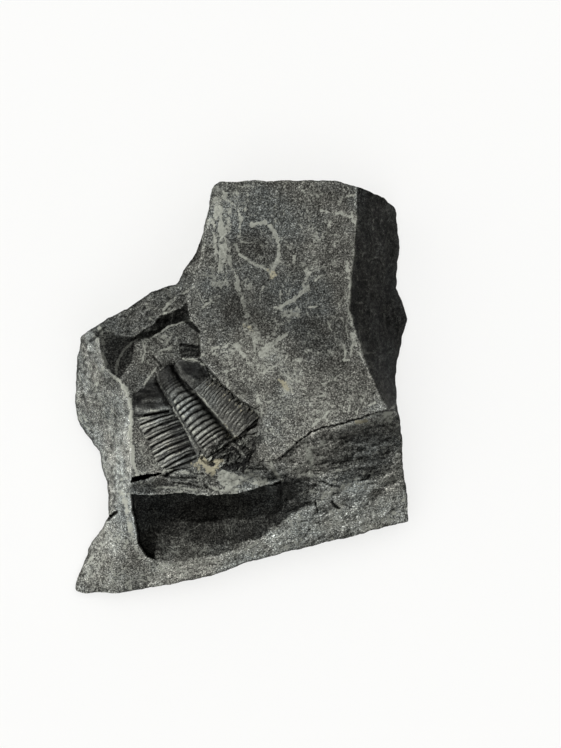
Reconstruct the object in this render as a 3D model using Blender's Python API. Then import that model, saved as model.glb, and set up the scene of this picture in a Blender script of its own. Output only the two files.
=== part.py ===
# Trilobite fossil: a broken block of dark shale that lies on its flat back, with the tail and thorax of a
# trilobite in a shallow bay of its top face.
#
# Two pieces: shale_matrix, the rock, and trilobite, the mineralised shell, which sits in a pocket of the rock.
# +Z is up, off the resting face; +Y runs to the block's straight edge; the origin is under the block's middle.

import math

import bmesh
import bpy
import numpy as np
from mathutils import Vector, noise

MM = 0.001

# Driving dimensions, all in millimetres
GRID_PITCH = 1.3            # spacing of the points that carry the broken top face
SNAP_SHARE = 0.42           # points nearer to an edge line than this share of the pitch move onto it
KEEP_SHARE = 0.35           # points nearer to the rim than this share of the pitch are dropped
ROCK_DETAIL = 0.295         # share of the rock's faces that is kept
WALL_RINGS = 8              # rows of faces down each broken side
WALL_WANDER = 2.2           # how far the broken sides wander in and out
WALL_TAPER = 0.02           # how much narrower the block is at its base than at its rim
MIDDLE = (-0.1, -1.0)       # middle of the outline, which is brought over the origin
BELOW_BASE = 3.0            # the rock is made this much too deep, then cut flat at zero
GAP = 0.3                   # all round the shell, between it and its pocket
BED_UNDERSIDE = 38.2        # lowest level of the shell
BED_TOP = 40.35             # level of the shell's plain margin
CRACK_STEP = 2.2            # drop from the bedding plane to the rough face beyond the crack
LEDGE_UNDERCUT = 4.5        # how far the hollow reaches in under the ledge
CLIFF_STEP = 4.0            # an edge of the top face that falls further than this gets points on its way down
CLIFF_WANDER = 1.1          # how far those points wander in and out

# Edge lines of the rock, read clockwise, as x, y and height above the resting face
TOP_EDGE = [(-11, 64, 44.2), (-9.5, 71, 44.5), (-7.5, 72.5, 44.5), (10, 73, 45), (33.5, 73, 45), (41.5, 71, 44.8)]
CORNER_EDGE = [(41.5, 71, 44.8), (49.5, 68.5, 28), (54.5, 66, 12), (56, 64.5, 5)]
RIGHT_EDGE = [(56, 64.5, 5), (57, 56, 3), (57, 49, 3), (56.5, 40, 3.5), (56, 36, 3.5), (58.5, 30.5, 4),
              (60, 24.5, 4), (58, 18, 4), (56.5, 8, 5), (56, -4.5, 10)]
BREAK_EDGE = [(56, -4.5, 10), (57, -12, 26), (58, -20, 25), (58.5, -29.5, 20)]
BAND_EDGE = [(58.5, -29.5, 20), (59.5, -35.5, 15), (60.5, -48.5, 10)]
FRONT_EDGE = [(60.5, -48.5, 10), (39.5, -54, 12), (21.5, -58.5, 12), (3, -63, 11.5), (-11.5, -68.5, 11),
              (-26, -71.5, 9.5), (-34, -72.8, 8)]
HEEL_EDGE = [(-34, -72.8, 8), (-40.5, -74, 7), (-46, -74.6, 6)]
TOE_EDGE = [(-46, -74.6, 6), (-57, -75, 3), (-61, -74, 2.5), (-59.5, -69.5, 2.5), (-57.5, -64, 2.5),
            (-54.5, -56.5, 2.5), (-51.5, -52.5, 3), (-47.5, -46.5, 12)]
COLUMN_EDGE = [(-47.5, -46.5, 12), (-48.5, -41, 5), (-49, -34, 4), (-51.5, -23.5, 3), (-56.5, -17, 3), (-59.5, -12, 3),
               (-60.5, -3, 3), (-60, 5.5, 4), (-58.5, 13.5, 12), (-57.5, 18, 22), (-53.5, 20.5, 38)]
NOTCH_EDGE = [(-53.5, 20.5, 38), (-46, 25, 38.5), (-37, 30, 39.5), (-31, 34, 40), (-23, 36.5, 40.5), (-19, 42.5, 41),
              (-15.5, 49, 42), (-13, 55, 43), (-11, 64, 44.2)]

# Edge lines inside the rim
RIGHT_RIDGE = [(41.5, 71, 44.8), (41, 59, 45), (40, 48.5, 45), (39, 38, 45), (38.5, 27, 45), (41, 19, 45),
               (43.5, 11, 44.8), (46, 4.5, 44.5), (49.5, -4.5, 44), (52.5, -8, 43.6)]
CRACK = [(52.5, -8, 43.6), (46, -10, 43.8), (34, -13.5, 44), (25.5, -15.5, 43.8), (21.5, -19, 43.4), (17, -22, 43),
         (13, -25.5, 42.5), (7, -26.5, 42)]
BAY_RIGHT = [(7, -26.5, 42), (7.5, -18.5, 42.4), (8, -14.5, 42.6), (7.5, -8.5, 43), (0, -4.5, 43.2), (-6.5, 1.5, 43.4),
             (-11, 6, 43.6), (-14, 10.5, 43.8), (-14.5, 20.5, 44), (-17.5, 24, 44.2), (-19, 30, 44.3)]
SHELF_TOP = [(-19, 30, 44.3), (-15, 41.5, 44.6), (-12.5, 52, 44.5), (-11, 64, 44.2)]
STEP_TOP = [(-19, 30, 44.3), (-21.5, 27.5, 44), (-28.5, 25.5, 43.6), (-31.5, 22.5, 43.4), (-38, 17.5, 43)]
STEP_FOOT = [(-38, 17, 40), (-32.5, 18, 40.2), (-26.5, 21.5, 40.2), (-21, 23.5, 40.2), (-17.5, 21.5, 40.2),
             (-14.5, 19, 40.2)]
SHELF_CORNER = [(-38, 17.5, 43), (-49.5, 20.2, 41.5), (-53.5, 20.5, 38)]
COLUMN_TOP = [(-53.5, 20.5, 38), (-50, 17, 40), (-48.5, 7, 38.8), (-43.5, 3, 39)]
COLUMN_RIDGE = [(-43.5, 3, 39), (-40.5, -2.5, 39.2), (-39, -9.5, 39.6), (-39, -26, 39.4), (-38.7, -32, 39)]
FACET_FOOT = [(-43.5, 3, 39), (-38.5, 9.5, 39.4), (-38, 17, 40)]
BAY_FOOT = [(-26.5, -30, 40), (-12.5, -29.5, 40), (0, -30, 40), (7, -26.5, 40)]
CLEFT_LIP = [(-38.7, -32, 39), (-32.5, -30.5, 39.8), (-26.5, -30, 40)]
CLEFT_FOOT = [(-26.5, -30, 40), (-33, -32.5, 39.3), (-39, -34, 38)]
LEDGE = [(-39.5, -38, 37), (-28.5, -38, 38), (-13.5, -38, 38.3), (-1.5, -38, 38), (7, -35.5, 37.6), (14.5, -33, 36.5)]
HOLLOW_LEFT = [(-39.5, -38, 35), (-39.5, -41, 32), (-38, -49, 26), (-37, -56, 20), (-34, -61, 16), (-29, -64, 14)]
HOLLOW_FRONT = [(-29, -64, 14), (-14.5, -63, 14), (-0.5, -58.5, 15.5), (8.5, -52, 18.5), (15, -46.5, 22)]
HOLLOW_RIGHT = [(15, -46.5, 22), (15, -40, 26), (14.5, -33, 36.5)]
BAND_TOP = [(15, -46.5, 22), (25, -44, 24.5), (31, -39.5, 26.5), (39, -34.5, 27), (48.5, -33.5, 24),
            (58.5, -29.5, 20)]
TOE_RIDGE = [(-47.5, -46.5, 12), (-45, -50, 20), (-46, -60, 16), (-46, -74.6, 6)]

# The shell: its plain margin, then the guide lines that its ribs run between, from the tail to the broken head
MARGIN = [(-27, 7), (-22, 10.6), (-12.6, 8.6), (-10.6, 3.6), (-6.4, 1.2), (0, -4.7), (7, -9.4), (7.2, -14), (6.6, -19),
          (6.4, -25), (1, -30.4), (-11, -28.9), (-17, -28.4), (-27, -29.4), (-30, -27), (-32.7, -21), (-35.7, -14.5),
          (-37.7, -10), (-38, -3), (-35.5, -0.7), (-31.6, 3.6)]
AXIS_LEFT = [(-28.8, 4.6), (-28, 0.2), (-24.3, -6.7), (-21.4, -12.8), (-17.8, -19), (-14.8, -24)]
AXIS_RIGHT = [(-24.8, 7.6), (-20, 2), (-15.4, -3.8), (-11, -8.5), (-6.8, -13.2), (-1.8, -17.6)]
LEFT_FIELD_OUTER = [(-31.4, 3.2), (-35.2, -1), (-37.3, -3), (-37.2, -6), (-36.6, -10.2)]
LEFT_FIELD_INNER = [(-29.6, 3.4), (-27.6, 0), (-26.3, -3), (-25, -5), (-23.6, -7.6)]
LEFT_RIBS_OUTER = [(-36.6, -11), (-34.9, -15), (-33, -18.6), (-31.2, -22.2), (-29, -25.6), (-27.2, -28.6)]
LEFT_RIBS_INNER = [(-23.6, -8.2), (-21.4, -11.4), (-19.6, -14.4), (-17.8, -17.6), (-16, -20.8), (-14, -23.8)]
RIGHT_FIELD_OUTER = [(-21, 9.6), (-17, 9), (-13.2, 7.8), (-12, 5.4), (-11.2, 3.2)]
RIGHT_FIELD_INNER = [(-23, 7.4), (-21.6, 5), (-19.8, 2.2), (-18.2, 0), (-16.4, -2)]
RIGHT_RIBS_OUTER = [(-10.8, 3), (-6.6, 0.7), (-3, -2.4), (0.6, -5.4), (6.6, -9.8)]
RIGHT_RIBS_INNER = [(-16, -2.6), (-12.6, -6), (-9, -9.8), (-5.6, -13.2), (-2, -17)]
HEAD_OUTER = [(-14.6, -24.6), (-12, -26.6), (-9, -28.2), (-4, -29.4), (1, -29.8), (6, -25)]
HEAD_INNER = [(-13, -23.6), (-9, -20.8), (-5, -18.6), (-1.6, -17.4), (2.4, -15.8), (6.6, -13)]

# One row for each stretch of the shell: ribs, points across a rib, height of its middle above the margin,
# height of a rib, height that its inner and outer ends keep, depth that its body reaches
AXIS_BODY = dict(ribs=16, across=8, arch=3.1, rib=0.75, inner=0.5, outer=0.5, root=1.5)
LEFT_FIELD_BODY = dict(ribs=2, across=6, arch=1.5, rib=0.25, inner=0.6, outer=0.35, root=1.3)
LEFT_RIBS_BODY = dict(ribs=13, across=6, arch=1.5, rib=0.75, inner=0.6, outer=0.3, root=1.2)
RIGHT_FIELD_BODY = dict(ribs=2, across=5, arch=1.3, rib=0.2, inner=0.6, outer=0.7, root=1.4)
RIGHT_RIBS_BODY = dict(ribs=16, across=4, arch=1.2, rib=0.5, inner=0.6, outer=0.9, root=1.1)
HEAD_BODY = dict(ribs=5, across=5, arch=0.9, rib=0.4, inner=0.4, outer=0.3, root=1.0)

SHALE_COLOUR = (0.105, 0.108, 0.098, 1.0)
SHELL_COLOUR = (0.085, 0.087, 0.08, 1.0)


def lowered(line, drop):
    return [(x, y, z - drop) for x, y, z in line]


def joined(*lines):
    """One closed loop from edge lines that follow each other, without the points that repeat."""
    loop = []
    for line in lines:
        for point in line:
            if not loop or point != loop[-1]:
                loop.append(point)
    if loop[0] == loop[-1]:
        loop.pop()
    return np.array(loop, dtype=float)


def rock_rim():
    return joined(TOP_EDGE, CORNER_EDGE, RIGHT_EDGE, BREAK_EDGE, BAND_EDGE, FRONT_EDGE, HEEL_EDGE, TOE_EDGE,
                  COLUMN_EDGE, NOTCH_EDGE)


def rock_facets():
    """The broken faces of the top, each as the loop of its edge lines, and the bedding plane first."""
    crack_foot = lowered(CRACK, CRACK_STEP)
    hollow_roof = [(-39.5, -38, 24), (-28.5, -38, 18), (-13.5, -38, 15), (-1.5, -38, 16), (7, -35.5, 20), (14, -34, 28)]
    return [
        joined(TOP_EDGE, RIGHT_RIDGE, CRACK, BAY_RIGHT, SHELF_TOP),
        joined(SHELF_TOP, NOTCH_EDGE[::-1], SHELF_CORNER[::-1], STEP_TOP[::-1]),
        joined(SHELF_CORNER, COLUMN_TOP, FACET_FOOT),
        joined(STEP_TOP, STEP_FOOT, BAY_RIGHT[-3:]),
        joined(STEP_FOOT, [(-14, 10.5, 40.2)], lowered(BAY_RIGHT[-5::-1], 2.6), BAY_FOOT[::-1],
               CLEFT_LIP[::-1], COLUMN_RIDGE[::-1], FACET_FOOT),
        joined(lowered(CLEFT_LIP, 6), lowered(CLEFT_FOOT, 6)),
        joined(CLEFT_FOOT, LEDGE, [(7, -26.5, 40)], BAY_FOOT[::-1]),
        joined(COLUMN_TOP, COLUMN_RIDGE, [(-39, -34, 38)], HOLLOW_LEFT, HEEL_EDGE, TOE_RIDGE[::-1], COLUMN_EDGE),
        joined(TOE_EDGE, TOE_RIDGE),
        joined(hollow_roof, HOLLOW_RIGHT[::-1][1:], HOLLOW_FRONT[::-1], lowered(HOLLOW_LEFT[::-1][1:-1], 6)),
        joined(BAND_EDGE, FRONT_EDGE, HOLLOW_FRONT, BAND_TOP),
        joined(crack_foot, [(7, -26.5, 39.8)], HOLLOW_RIGHT[::-1], BAND_TOP, BREAK_EDGE[::-1]),
        joined(RIGHT_RIDGE, [(56, -4.5, 10)], RIGHT_EDGE[::-1], CORNER_EDGE[::-1]),
    ]


def nearest(points, loop):
    """Nearest place on a closed loop, in plan, for each point: its position and its distance."""
    best = np.full(len(points), np.inf)
    place = np.zeros((len(points), 2))
    for start, end in zip(loop, np.roll(loop, -1, axis=0)):
        along = end[:2] - start[:2]
        share = np.clip((points - start[:2]) @ along / max(along @ along, 1e-12), 0, 1)
        foot = start[:2] + share[:, None] * along
        distance = np.linalg.norm(points - foot, axis=1)
        closer = distance < best
        best[closer] = distance[closer]
        place[closer] = foot[closer]
    return place, best


def inside(points, loop):
    crossings = np.zeros(len(points), dtype=int)
    for (x0, y0), (x1, y1) in zip(loop[:, :2], np.roll(loop[:, :2], -1, axis=0)):
        if y0 == y1:
            continue
        spans = (y0 > points[:, 1]) != (y1 > points[:, 1])
        reach = x0 + (points[:, 1] - y0) * (x1 - x0) / (y1 - y0)
        crossings += spans & (points[:, 0] < reach)
    return crossings % 2 == 1


def spanned(points, loop):
    """Height of the smooth face that spans a loop, by mean value coordinates."""
    toward = loop[None, :, :2] - points[:, None, :]
    reach = np.linalg.norm(toward, axis=2) + 1e-9
    following = np.roll(toward, -1, axis=1)
    cross = toward[..., 0] * following[..., 1] - toward[..., 1] * following[..., 0]
    dot = (toward * following).sum(axis=2)
    cross = np.where(np.abs(cross) < 1e-9, 1e-9, cross)
    half_tangent = (reach * np.roll(reach, -1, axis=1) - dot) / cross
    weight = (half_tangent + np.roll(half_tangent, 1, axis=1)) / reach
    height = (weight * loop[None, :, 2]).sum(axis=1) / weight.sum(axis=1)
    return np.clip(height, loop[:, 2].min(), loop[:, 2].max())


def roughness(x, y, height):
    """Swells of the top face, and its breaks, which are rougher the deeper they lie below the bedding plane."""
    depth = min(max(TOP_EDGE[-1][2] - height, 0), 25) / 25
    swell = noise.noise(Vector((x / 26, y / 26, 1.7))) * 0.9
    flakes = noise.fractal(Vector((x / 7, y / 5, 4.1)), 0.9, 2.1, 3) * (0.3 + 1.1 * depth)
    return swell + flakes


def top_heights(points):
    facets = rock_facets()
    heights = np.full(len(points), -np.inf)
    for loop in facets[::-1]:
        _, distance = nearest(points, loop)
        held = inside(points, loop) | (distance < 0.01)
        heights[held] = np.maximum(heights[held], spanned(points[held], loop))
    open_ground = ~np.isfinite(heights)
    heights[open_ground] = spanned(points[open_ground], facets[0])
    return heights + [roughness(x, y, height) for (x, y), height in zip(points, heights)]


def snapped(points):
    """Points close to an edge line move onto it, so the ridges and ledges come out crisp."""
    moved = points.copy()
    best = np.full(len(points), GRID_PITCH * SNAP_SHARE)
    for loop in rock_facets():
        place, distance = nearest(points, loop)
        closer = distance < best
        moved[closer] = place[closer]
        best[closer] = distance[closer]
    return moved


def material(name, colour, roughness_value):
    finish = bpy.data.materials.new(name)
    finish.use_nodes = True
    shader = finish.node_tree.nodes["Principled BSDF"]
    shader.inputs["Base Color"].default_value = colour
    shader.inputs["Roughness"].default_value = roughness_value
    shader.inputs["Metallic"].default_value = 0.0
    return finish


def new_object(name, bm):
    """A named object in metres from a bmesh in millimetres, over the middle of the outline."""
    bmesh.ops.translate(bm, vec=(-MIDDLE[0], -MIDDLE[1], 0), verts=bm.verts)
    bmesh.ops.scale(bm, vec=(MM, MM, MM), verts=bm.verts)
    mesh = bpy.data.meshes.new(name)
    bm.to_mesh(mesh)
    bm.free()
    made = bpy.data.objects.new(name, mesh)
    bpy.context.scene.collection.objects.link(made)
    return made


def as_cutter(made):
    made.hide_render = True
    made.display_type = "WIRE"
    return made


def add_boolean(target, cutter, operation):
    cut = target.modifiers.new(cutter.name, "BOOLEAN")
    cut.operation = operation
    cut.solver = "EXACT"
    cut.object = cutter


def prism(name, outline, low, high):
    """An upright solid over an outline."""
    bm = bmesh.new()
    face = bm.faces.new([bm.verts.new((x, y, low)) for x, y in outline])
    raised = bmesh.ops.extrude_face_region(bm, geom=[face])["geom"]
    for part in raised:
        if isinstance(part, bmesh.types.BMVert):
            part.co.z = high
    bmesh.ops.recalc_face_normals(bm, faces=bm.faces)
    return new_object(name, bm)


def grown(outline, margin):
    """The outline moved outwards by a margin, corner by corner."""
    corners = [Vector(point) for point in outline]
    area = sum(a.x * b.y - b.x * a.y for a, b in zip(corners, corners[1:] + corners[:1]))
    side = -1 if area > 0 else 1
    moved = []
    for before, corner, after in zip(corners[-1:] + corners[:-1], corners, corners[1:] + corners[:1]):
        first = (corner - before).normalized()
        second = (after - corner).normalized()
        bisector = Vector((-first.y - second.y, first.x + second.x)).normalized()
        widening = max(bisector.dot(Vector((-first.y, first.x))), 0.4)
        moved.append(corner + bisector * side * margin / widening)
    return [(corner.x, corner.y) for corner in moved]


def make_rock():
    """The block: a grid trimmed to the rim, lifted to the broken face, with rough sides down past the base."""
    rim = rock_rim()
    low, high = rim[:, :2].min(axis=0), rim[:, :2].max(axis=0)
    span = high - low
    steps = np.ceil(span / GRID_PITCH).astype(int)
    bm = bmesh.new()
    bmesh.ops.create_grid(bm, x_segments=int(steps[0]), y_segments=int(steps[1]), size=0.5)
    bmesh.ops.scale(bm, vec=(span[0], span[1], 1), verts=bm.verts)
    bmesh.ops.translate(bm, vec=(*(low + span / 2), 0), verts=bm.verts)

    points = np.array([vert.co.xy for vert in bm.verts])
    _, distance = nearest(points, rim)
    outer = ~inside(points, rim) | (distance < GRID_PITCH * KEEP_SHARE)
    bmesh.ops.delete(bm, geom=[vert for vert, gone in zip(bm.verts, outer) if gone], context="VERTS")
    corners = [vert for vert in bm.verts if len(vert.link_faces) == 0]
    bmesh.ops.delete(bm, geom=corners, context="VERTS")

    points = snapped(np.array([vert.co.xy for vert in bm.verts]))
    at_rim = np.array([vert.is_boundary for vert in bm.verts])
    points[at_rim], _ = nearest(points[at_rim], rim)
    for vert, (x, y), height in zip(bm.verts, points, top_heights(points)):
        vert.co = (x, y, height)

    undercut_ledge(bm)
    break_cliffs(bm)
    drop_sides(bm)
    bmesh.ops.triangulate(bm, faces=bm.faces)
    bmesh.ops.recalc_face_normals(bm, faces=bm.faces)
    rock = new_object("shale_matrix", bm)
    rock.data.materials.append(material("shale", SHALE_COLOUR, 0.85))

    thin = rock.modifiers.new("thin", "DECIMATE")
    thin.ratio = ROCK_DETAIL
    reach = 200
    square = [(-reach, -reach), (reach, -reach), (reach, reach), (-reach, reach)]
    add_boolean(rock, as_cutter(prism("base_cut", square, -reach, 0)), "DIFFERENCE")
    pocket = prism("shell_pocket", grown(MARGIN, GAP), BED_UNDERSIDE - GAP, BED_TOP + 20)
    add_boolean(rock, as_cutter(pocket), "DIFFERENCE")
    return rock


def undercut_ledge(bm):
    """The hollow runs in under the ledge, most a few millimetres below its lip."""
    lip = np.array(LEDGE)
    for vert in bm.verts:
        x, y, z = vert.co
        if not lip[0, 0] + 1 < x < lip[-1, 0] - 2:
            continue
        lip_y = np.interp(x, lip[:, 0], lip[:, 1])
        lip_z = np.interp(x, lip[:, 0], lip[:, 2])
        behind = lip_y - y
        below = lip_z - z
        if behind < 12 and below > 6:
            vert.co.y += LEDGE_UNDERCUT * (1 - behind / 12)


def break_cliffs(bm):
    """Points on the way down each steep step, moved in and out so the step looks broken."""
    for _ in range(2):
        steep = [edge for edge in bm.edges
                 if abs(edge.verts[0].co.z - edge.verts[1].co.z) > CLIFF_STEP and not edge.is_boundary]
        made = bmesh.ops.subdivide_edges(bm, edges=steep, cuts=1)["geom_inner"]
        for part in made:
            if isinstance(part, bmesh.types.BMVert) and not part.is_boundary:
                wander = noise.noise_vector(part.co / 6) * CLIFF_WANDER
                part.co.x += wander.x
                part.co.y += wander.y


def drop_sides(bm):
    """Rough sides from the rim to below the base, then the flat underside."""
    rim_edges = [edge for edge in bm.edges if edge.is_boundary]
    start = {vert: vert.co.copy() for edge in rim_edges for vert in edge.verts}
    low = Vector([min(place[axis] for place in start.values()) for axis in range(3)])
    high = Vector([max(place[axis] for place in start.values()) for axis in range(3)])
    for ring in range(1, WALL_RINGS + 1):
        share = ring / WALL_RINGS
        made = bmesh.ops.extrude_edge_only(bm, edges=rim_edges)["geom"]
        rim_edges = [part for part in made if isinstance(part, bmesh.types.BMEdge) and part.is_boundary]
        following = {}
        for vert in {vert for edge in rim_edges for vert in edge.verts}:
            above = next(edge.other_vert(vert) for edge in vert.link_edges if edge.other_vert(vert) in start)
            rim = following[vert] = start[above]
            height = rim.z + (-BELOW_BASE - rim.z) * share
            rough = min(1.0, rim.z / 30) * math.sin(math.pi * min(share, 0.5))
            wander = noise.noise_vector(Vector((rim.x / 13, rim.y / 13, height / 5))) * WALL_WANDER * rough
            vert.co.x = min(max(rim.x * (1 - WALL_TAPER * share) + wander.x, low.x), high.x)
            vert.co.y = min(max(rim.y * (1 - WALL_TAPER * share) + wander.y, low.y), high.y)
            vert.co.z = height
        start = following
    bmesh.ops.edgeloop_fill(bm, edges=rim_edges)


def point_along(line, share):
    place = share * (len(line) - 1)
    first = min(int(place), len(line) - 2)
    return Vector(line[first]).lerp(Vector(line[first + 1]), place - first)


def ribbed_body(name, inner_line, outer_line, body):
    """A closed strip between two guide lines: an arch across, with one ridge for each rib along it."""
    rows = body["ribs"] * 2
    bm = bmesh.new()
    bmesh.ops.create_grid(bm, x_segments=body["across"], y_segments=rows, size=0.5)
    for vert in bm.verts:
        across, along = vert.co.x + 0.5, vert.co.y + 0.5
        place = point_along(inner_line, along).lerp(point_along(outer_line, along), across)
        arch = math.sin(math.pi * across) ** 0.8 * (body["arch"] - max(body["inner"], body["outer"]))
        keep = body["inner"] + (body["outer"] - body["inner"]) * across
        crest = body["rib"] * (round(along * rows) % 2) * math.sin(math.pi * min(max(across, 0.12), 0.88))
        vert.co = (place.x, place.y, BED_TOP + keep + arch + crest)
    raised = bmesh.ops.extrude_face_region(bm, geom=bm.faces[:])["geom"]
    for part in raised:
        if isinstance(part, bmesh.types.BMVert):
            part.co.z = BED_TOP - body["root"]
    bmesh.ops.triangulate(bm, faces=bm.faces)
    bmesh.ops.recalc_face_normals(bm, faces=bm.faces)
    return as_cutter(new_object(name, bm))


def make_shell():
    """The trilobite: a thin margin that carries the axis, the two ribbed sides and the broken head."""
    shell = prism("trilobite", MARGIN, BED_UNDERSIDE, BED_TOP)
    shell.data.materials.append(material("shell", SHELL_COLOUR, 0.6))
    bodies = [
        ribbed_body("left_field", LEFT_FIELD_INNER, LEFT_FIELD_OUTER, LEFT_FIELD_BODY),
        ribbed_body("left_ribs", LEFT_RIBS_INNER, LEFT_RIBS_OUTER, LEFT_RIBS_BODY),
        ribbed_body("right_field", RIGHT_FIELD_INNER, RIGHT_FIELD_OUTER, RIGHT_FIELD_BODY),
        ribbed_body("right_ribs", RIGHT_RIBS_INNER, RIGHT_RIBS_OUTER, RIGHT_RIBS_BODY),
        ribbed_body("head_rubble", HEAD_INNER, HEAD_OUTER, HEAD_BODY),
        ribbed_body("axis", AXIS_LEFT, AXIS_RIGHT, AXIS_BODY),
    ]
    for body in bodies:
        add_boolean(shell, body, "UNION")
    return shell


for old in list(bpy.data.objects):
    bpy.data.objects.remove(old, do_unlink=True)

make_rock()
make_shell()
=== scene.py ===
import math

import bmesh
import bpy
import numpy as np
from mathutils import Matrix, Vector, noise


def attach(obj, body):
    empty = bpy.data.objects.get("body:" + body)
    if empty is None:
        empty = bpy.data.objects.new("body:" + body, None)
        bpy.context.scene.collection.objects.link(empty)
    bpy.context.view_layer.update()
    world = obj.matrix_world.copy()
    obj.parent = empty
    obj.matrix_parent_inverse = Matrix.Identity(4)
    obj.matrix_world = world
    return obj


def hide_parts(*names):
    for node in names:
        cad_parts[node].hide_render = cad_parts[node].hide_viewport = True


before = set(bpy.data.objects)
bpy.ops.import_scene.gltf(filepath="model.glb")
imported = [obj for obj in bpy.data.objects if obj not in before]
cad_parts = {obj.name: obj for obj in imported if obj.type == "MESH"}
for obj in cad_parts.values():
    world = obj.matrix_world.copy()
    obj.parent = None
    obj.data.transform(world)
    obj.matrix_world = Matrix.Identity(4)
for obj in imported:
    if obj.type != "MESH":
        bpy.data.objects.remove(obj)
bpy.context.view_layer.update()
mm = 0.001

# Marks on the stone are placed by their pixels in the photograph, which looks straight down on the block
photo = {
    "mmPerPixel": 0.364, "middle": (280.5, 374.0), "longSide": 748, "lookAt": (14.3, 5.7), "height": 1500.0,
}
planeLevel = 44.0
bayLevel = 41.0


def fromPhoto(pixels, level=planeLevel):
    # millimetres in the object's frame, for points that lie at a level above the resting face
    scale = photo["mmPerPixel"] * (1 - level / photo["height"])
    pixels = np.array(pixels, dtype=float)
    x = photo["lookAt"][0] + (pixels[:, 0] - photo["middle"][0]) * scale
    y = photo["lookAt"][1] - (pixels[:, 1] - photo["middle"][1]) * scale
    return np.stack([x, y], axis=1)


# Lines, loops and faces

def nearestOn(points, line, closed=False):
    # foot point, distance and share of the length for the nearest place on a line
    line = np.array(line, dtype=float)[:, :2]
    ends = np.roll(line, -1, axis=0) if closed else line[1:]
    best = np.full(len(points), np.inf)
    place = np.zeros((len(points), 2))
    share = np.zeros(len(points))
    for index, (start, end) in enumerate(zip(line, ends)):
        along = end - start
        part = np.clip((points - start) @ along / max(along @ along, 1e-12), 0, 1)
        foot = start + part[:, None] * along
        distance = np.linalg.norm(points - foot, axis=1)
        closer = distance < best
        best[closer] = distance[closer]
        place[closer] = foot[closer]
        share[closer] = (index + part[closer]) / len(ends)
    return place, best, share


def distanceTo(points, line, closed=False):
    return nearestOn(points, line, closed)[1]


def insideLoop(points, loop):
    loop = np.array(loop, dtype=float)[:, :2]
    crossings = np.zeros(len(points), dtype=int)
    for (x0, y0), (x1, y1) in zip(loop, np.roll(loop, -1, axis=0)):
        if y0 == y1:
            continue
        spans = (y0 > points[:, 1]) != (y1 > points[:, 1])
        crossings += spans & (points[:, 0] < x0 + (points[:, 1] - y0) * (x1 - x0) / (y1 - y0))
    return crossings % 2 == 1


def loopField(points, loop):
    # whether each point is inside a loop, and how far it is from it
    return insideLoop(points, loop), distanceTo(points, loop, closed=True)


def spanLoop(points, loop):
    # height of the smooth face that spans a loop of x, y, z, by mean value coordinates
    toward = loop[None, :, :2] - points[:, None, :]
    reach = np.linalg.norm(toward, axis=2) + 1e-9
    following = np.roll(toward, -1, axis=1)
    cross = toward[..., 0] * following[..., 1] - toward[..., 1] * following[..., 0]
    dot = (toward * following).sum(axis=2)
    product = reach * np.roll(reach, -1, axis=1)
    wide = (product - dot) / np.where(np.abs(cross) < 1e-9, 1e-9, cross)
    halfTangent = np.where(dot > 0, cross / (product + np.abs(dot)), wide)
    weight = (halfTangent + np.roll(halfTangent, 1, axis=1)) / reach
    height = (weight * loop[None, :, 2]).sum(axis=1) / weight.sum(axis=1)
    return np.clip(height, loop[:, 2].min(), loop[:, 2].max())


def joined(*lines):
    loop = []
    for line in lines:
        for point in line:
            if not loop or tuple(point) != loop[-1]:
                loop.append(tuple(point))
    if loop[0] == loop[-1]:
        loop.pop()
    return np.array(loop, dtype=float)


def dropped(line, fall):
    return [(x, y, z - fall) for x, y, z in line]


def smooth(value, low, high):
    part = np.clip((value - low) / (high - low), 0, 1)
    return part * part * (3 - 2 * part)


def cloud(points, size, seed, octaves=4, stretch=(1, 1), turn=0.0, gain=0.55):
    # smooth random values about zero; size is the width of the largest lumps in millimetres
    cosine, sine = math.cos(turn), math.sin(turn)
    x = (points[:, 0] * cosine + points[:, 1] * sine) / (size * stretch[0])
    y = (points[:, 1] * cosine - points[:, 0] * sine) / (size * stretch[1])
    total, share = np.zeros(len(points)), 1.6
    for octave in range(octaves):
        slopes = np.random.default_rng(seed * 97 + octave).uniform(-1, 1, (64, 64, 2))
        left, low = np.floor(x).astype(int), np.floor(y).astype(int)
        u, v = x - left, y - low
        corners = []
        for right, up in ((0, 0), (1, 0), (0, 1), (1, 1)):
            slope = slopes[(left + right) % 64, (low + up) % 64]
            corners.append(slope[:, 0] * (u - right) + slope[:, 1] * (v - up))
        u, v = smooth(u, 0, 1), smooth(v, 0, 1)
        lower = corners[0] + (corners[1] - corners[0]) * u
        upper = corners[2] + (corners[3] - corners[2]) * u
        total += share * (lower + (upper - lower) * v)
        share *= gain
        x, y = x * 2.03 + 5.3, y * 2.03 + 9.1
    return total


def gridMean(places, values, radius):
    # mean of the values around each point of a regular grid, given its whole-number places
    size = places.max(axis=0) + 1
    window = np.ones(2 * radius + 1) / (2 * radius + 1)
    fields = []
    for filling in (values, 1.0):
        field = np.zeros(size)
        field[places[:, 0], places[:, 1]] = filling
        for axis in (0, 1, 0, 1):
            field = np.apply_along_axis(np.convolve, axis, field, window, mode="same")
        fields.append(field[places[:, 0], places[:, 1]])
    return fields[0] / fields[1]


def terraces(value, step):
    # turns a smooth slope into flat treads with short risers, as split shale has
    level = np.floor(value / step)
    rise = smooth(value / step - level, 0.72, 1.0)
    return (level + rise) * step


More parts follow.
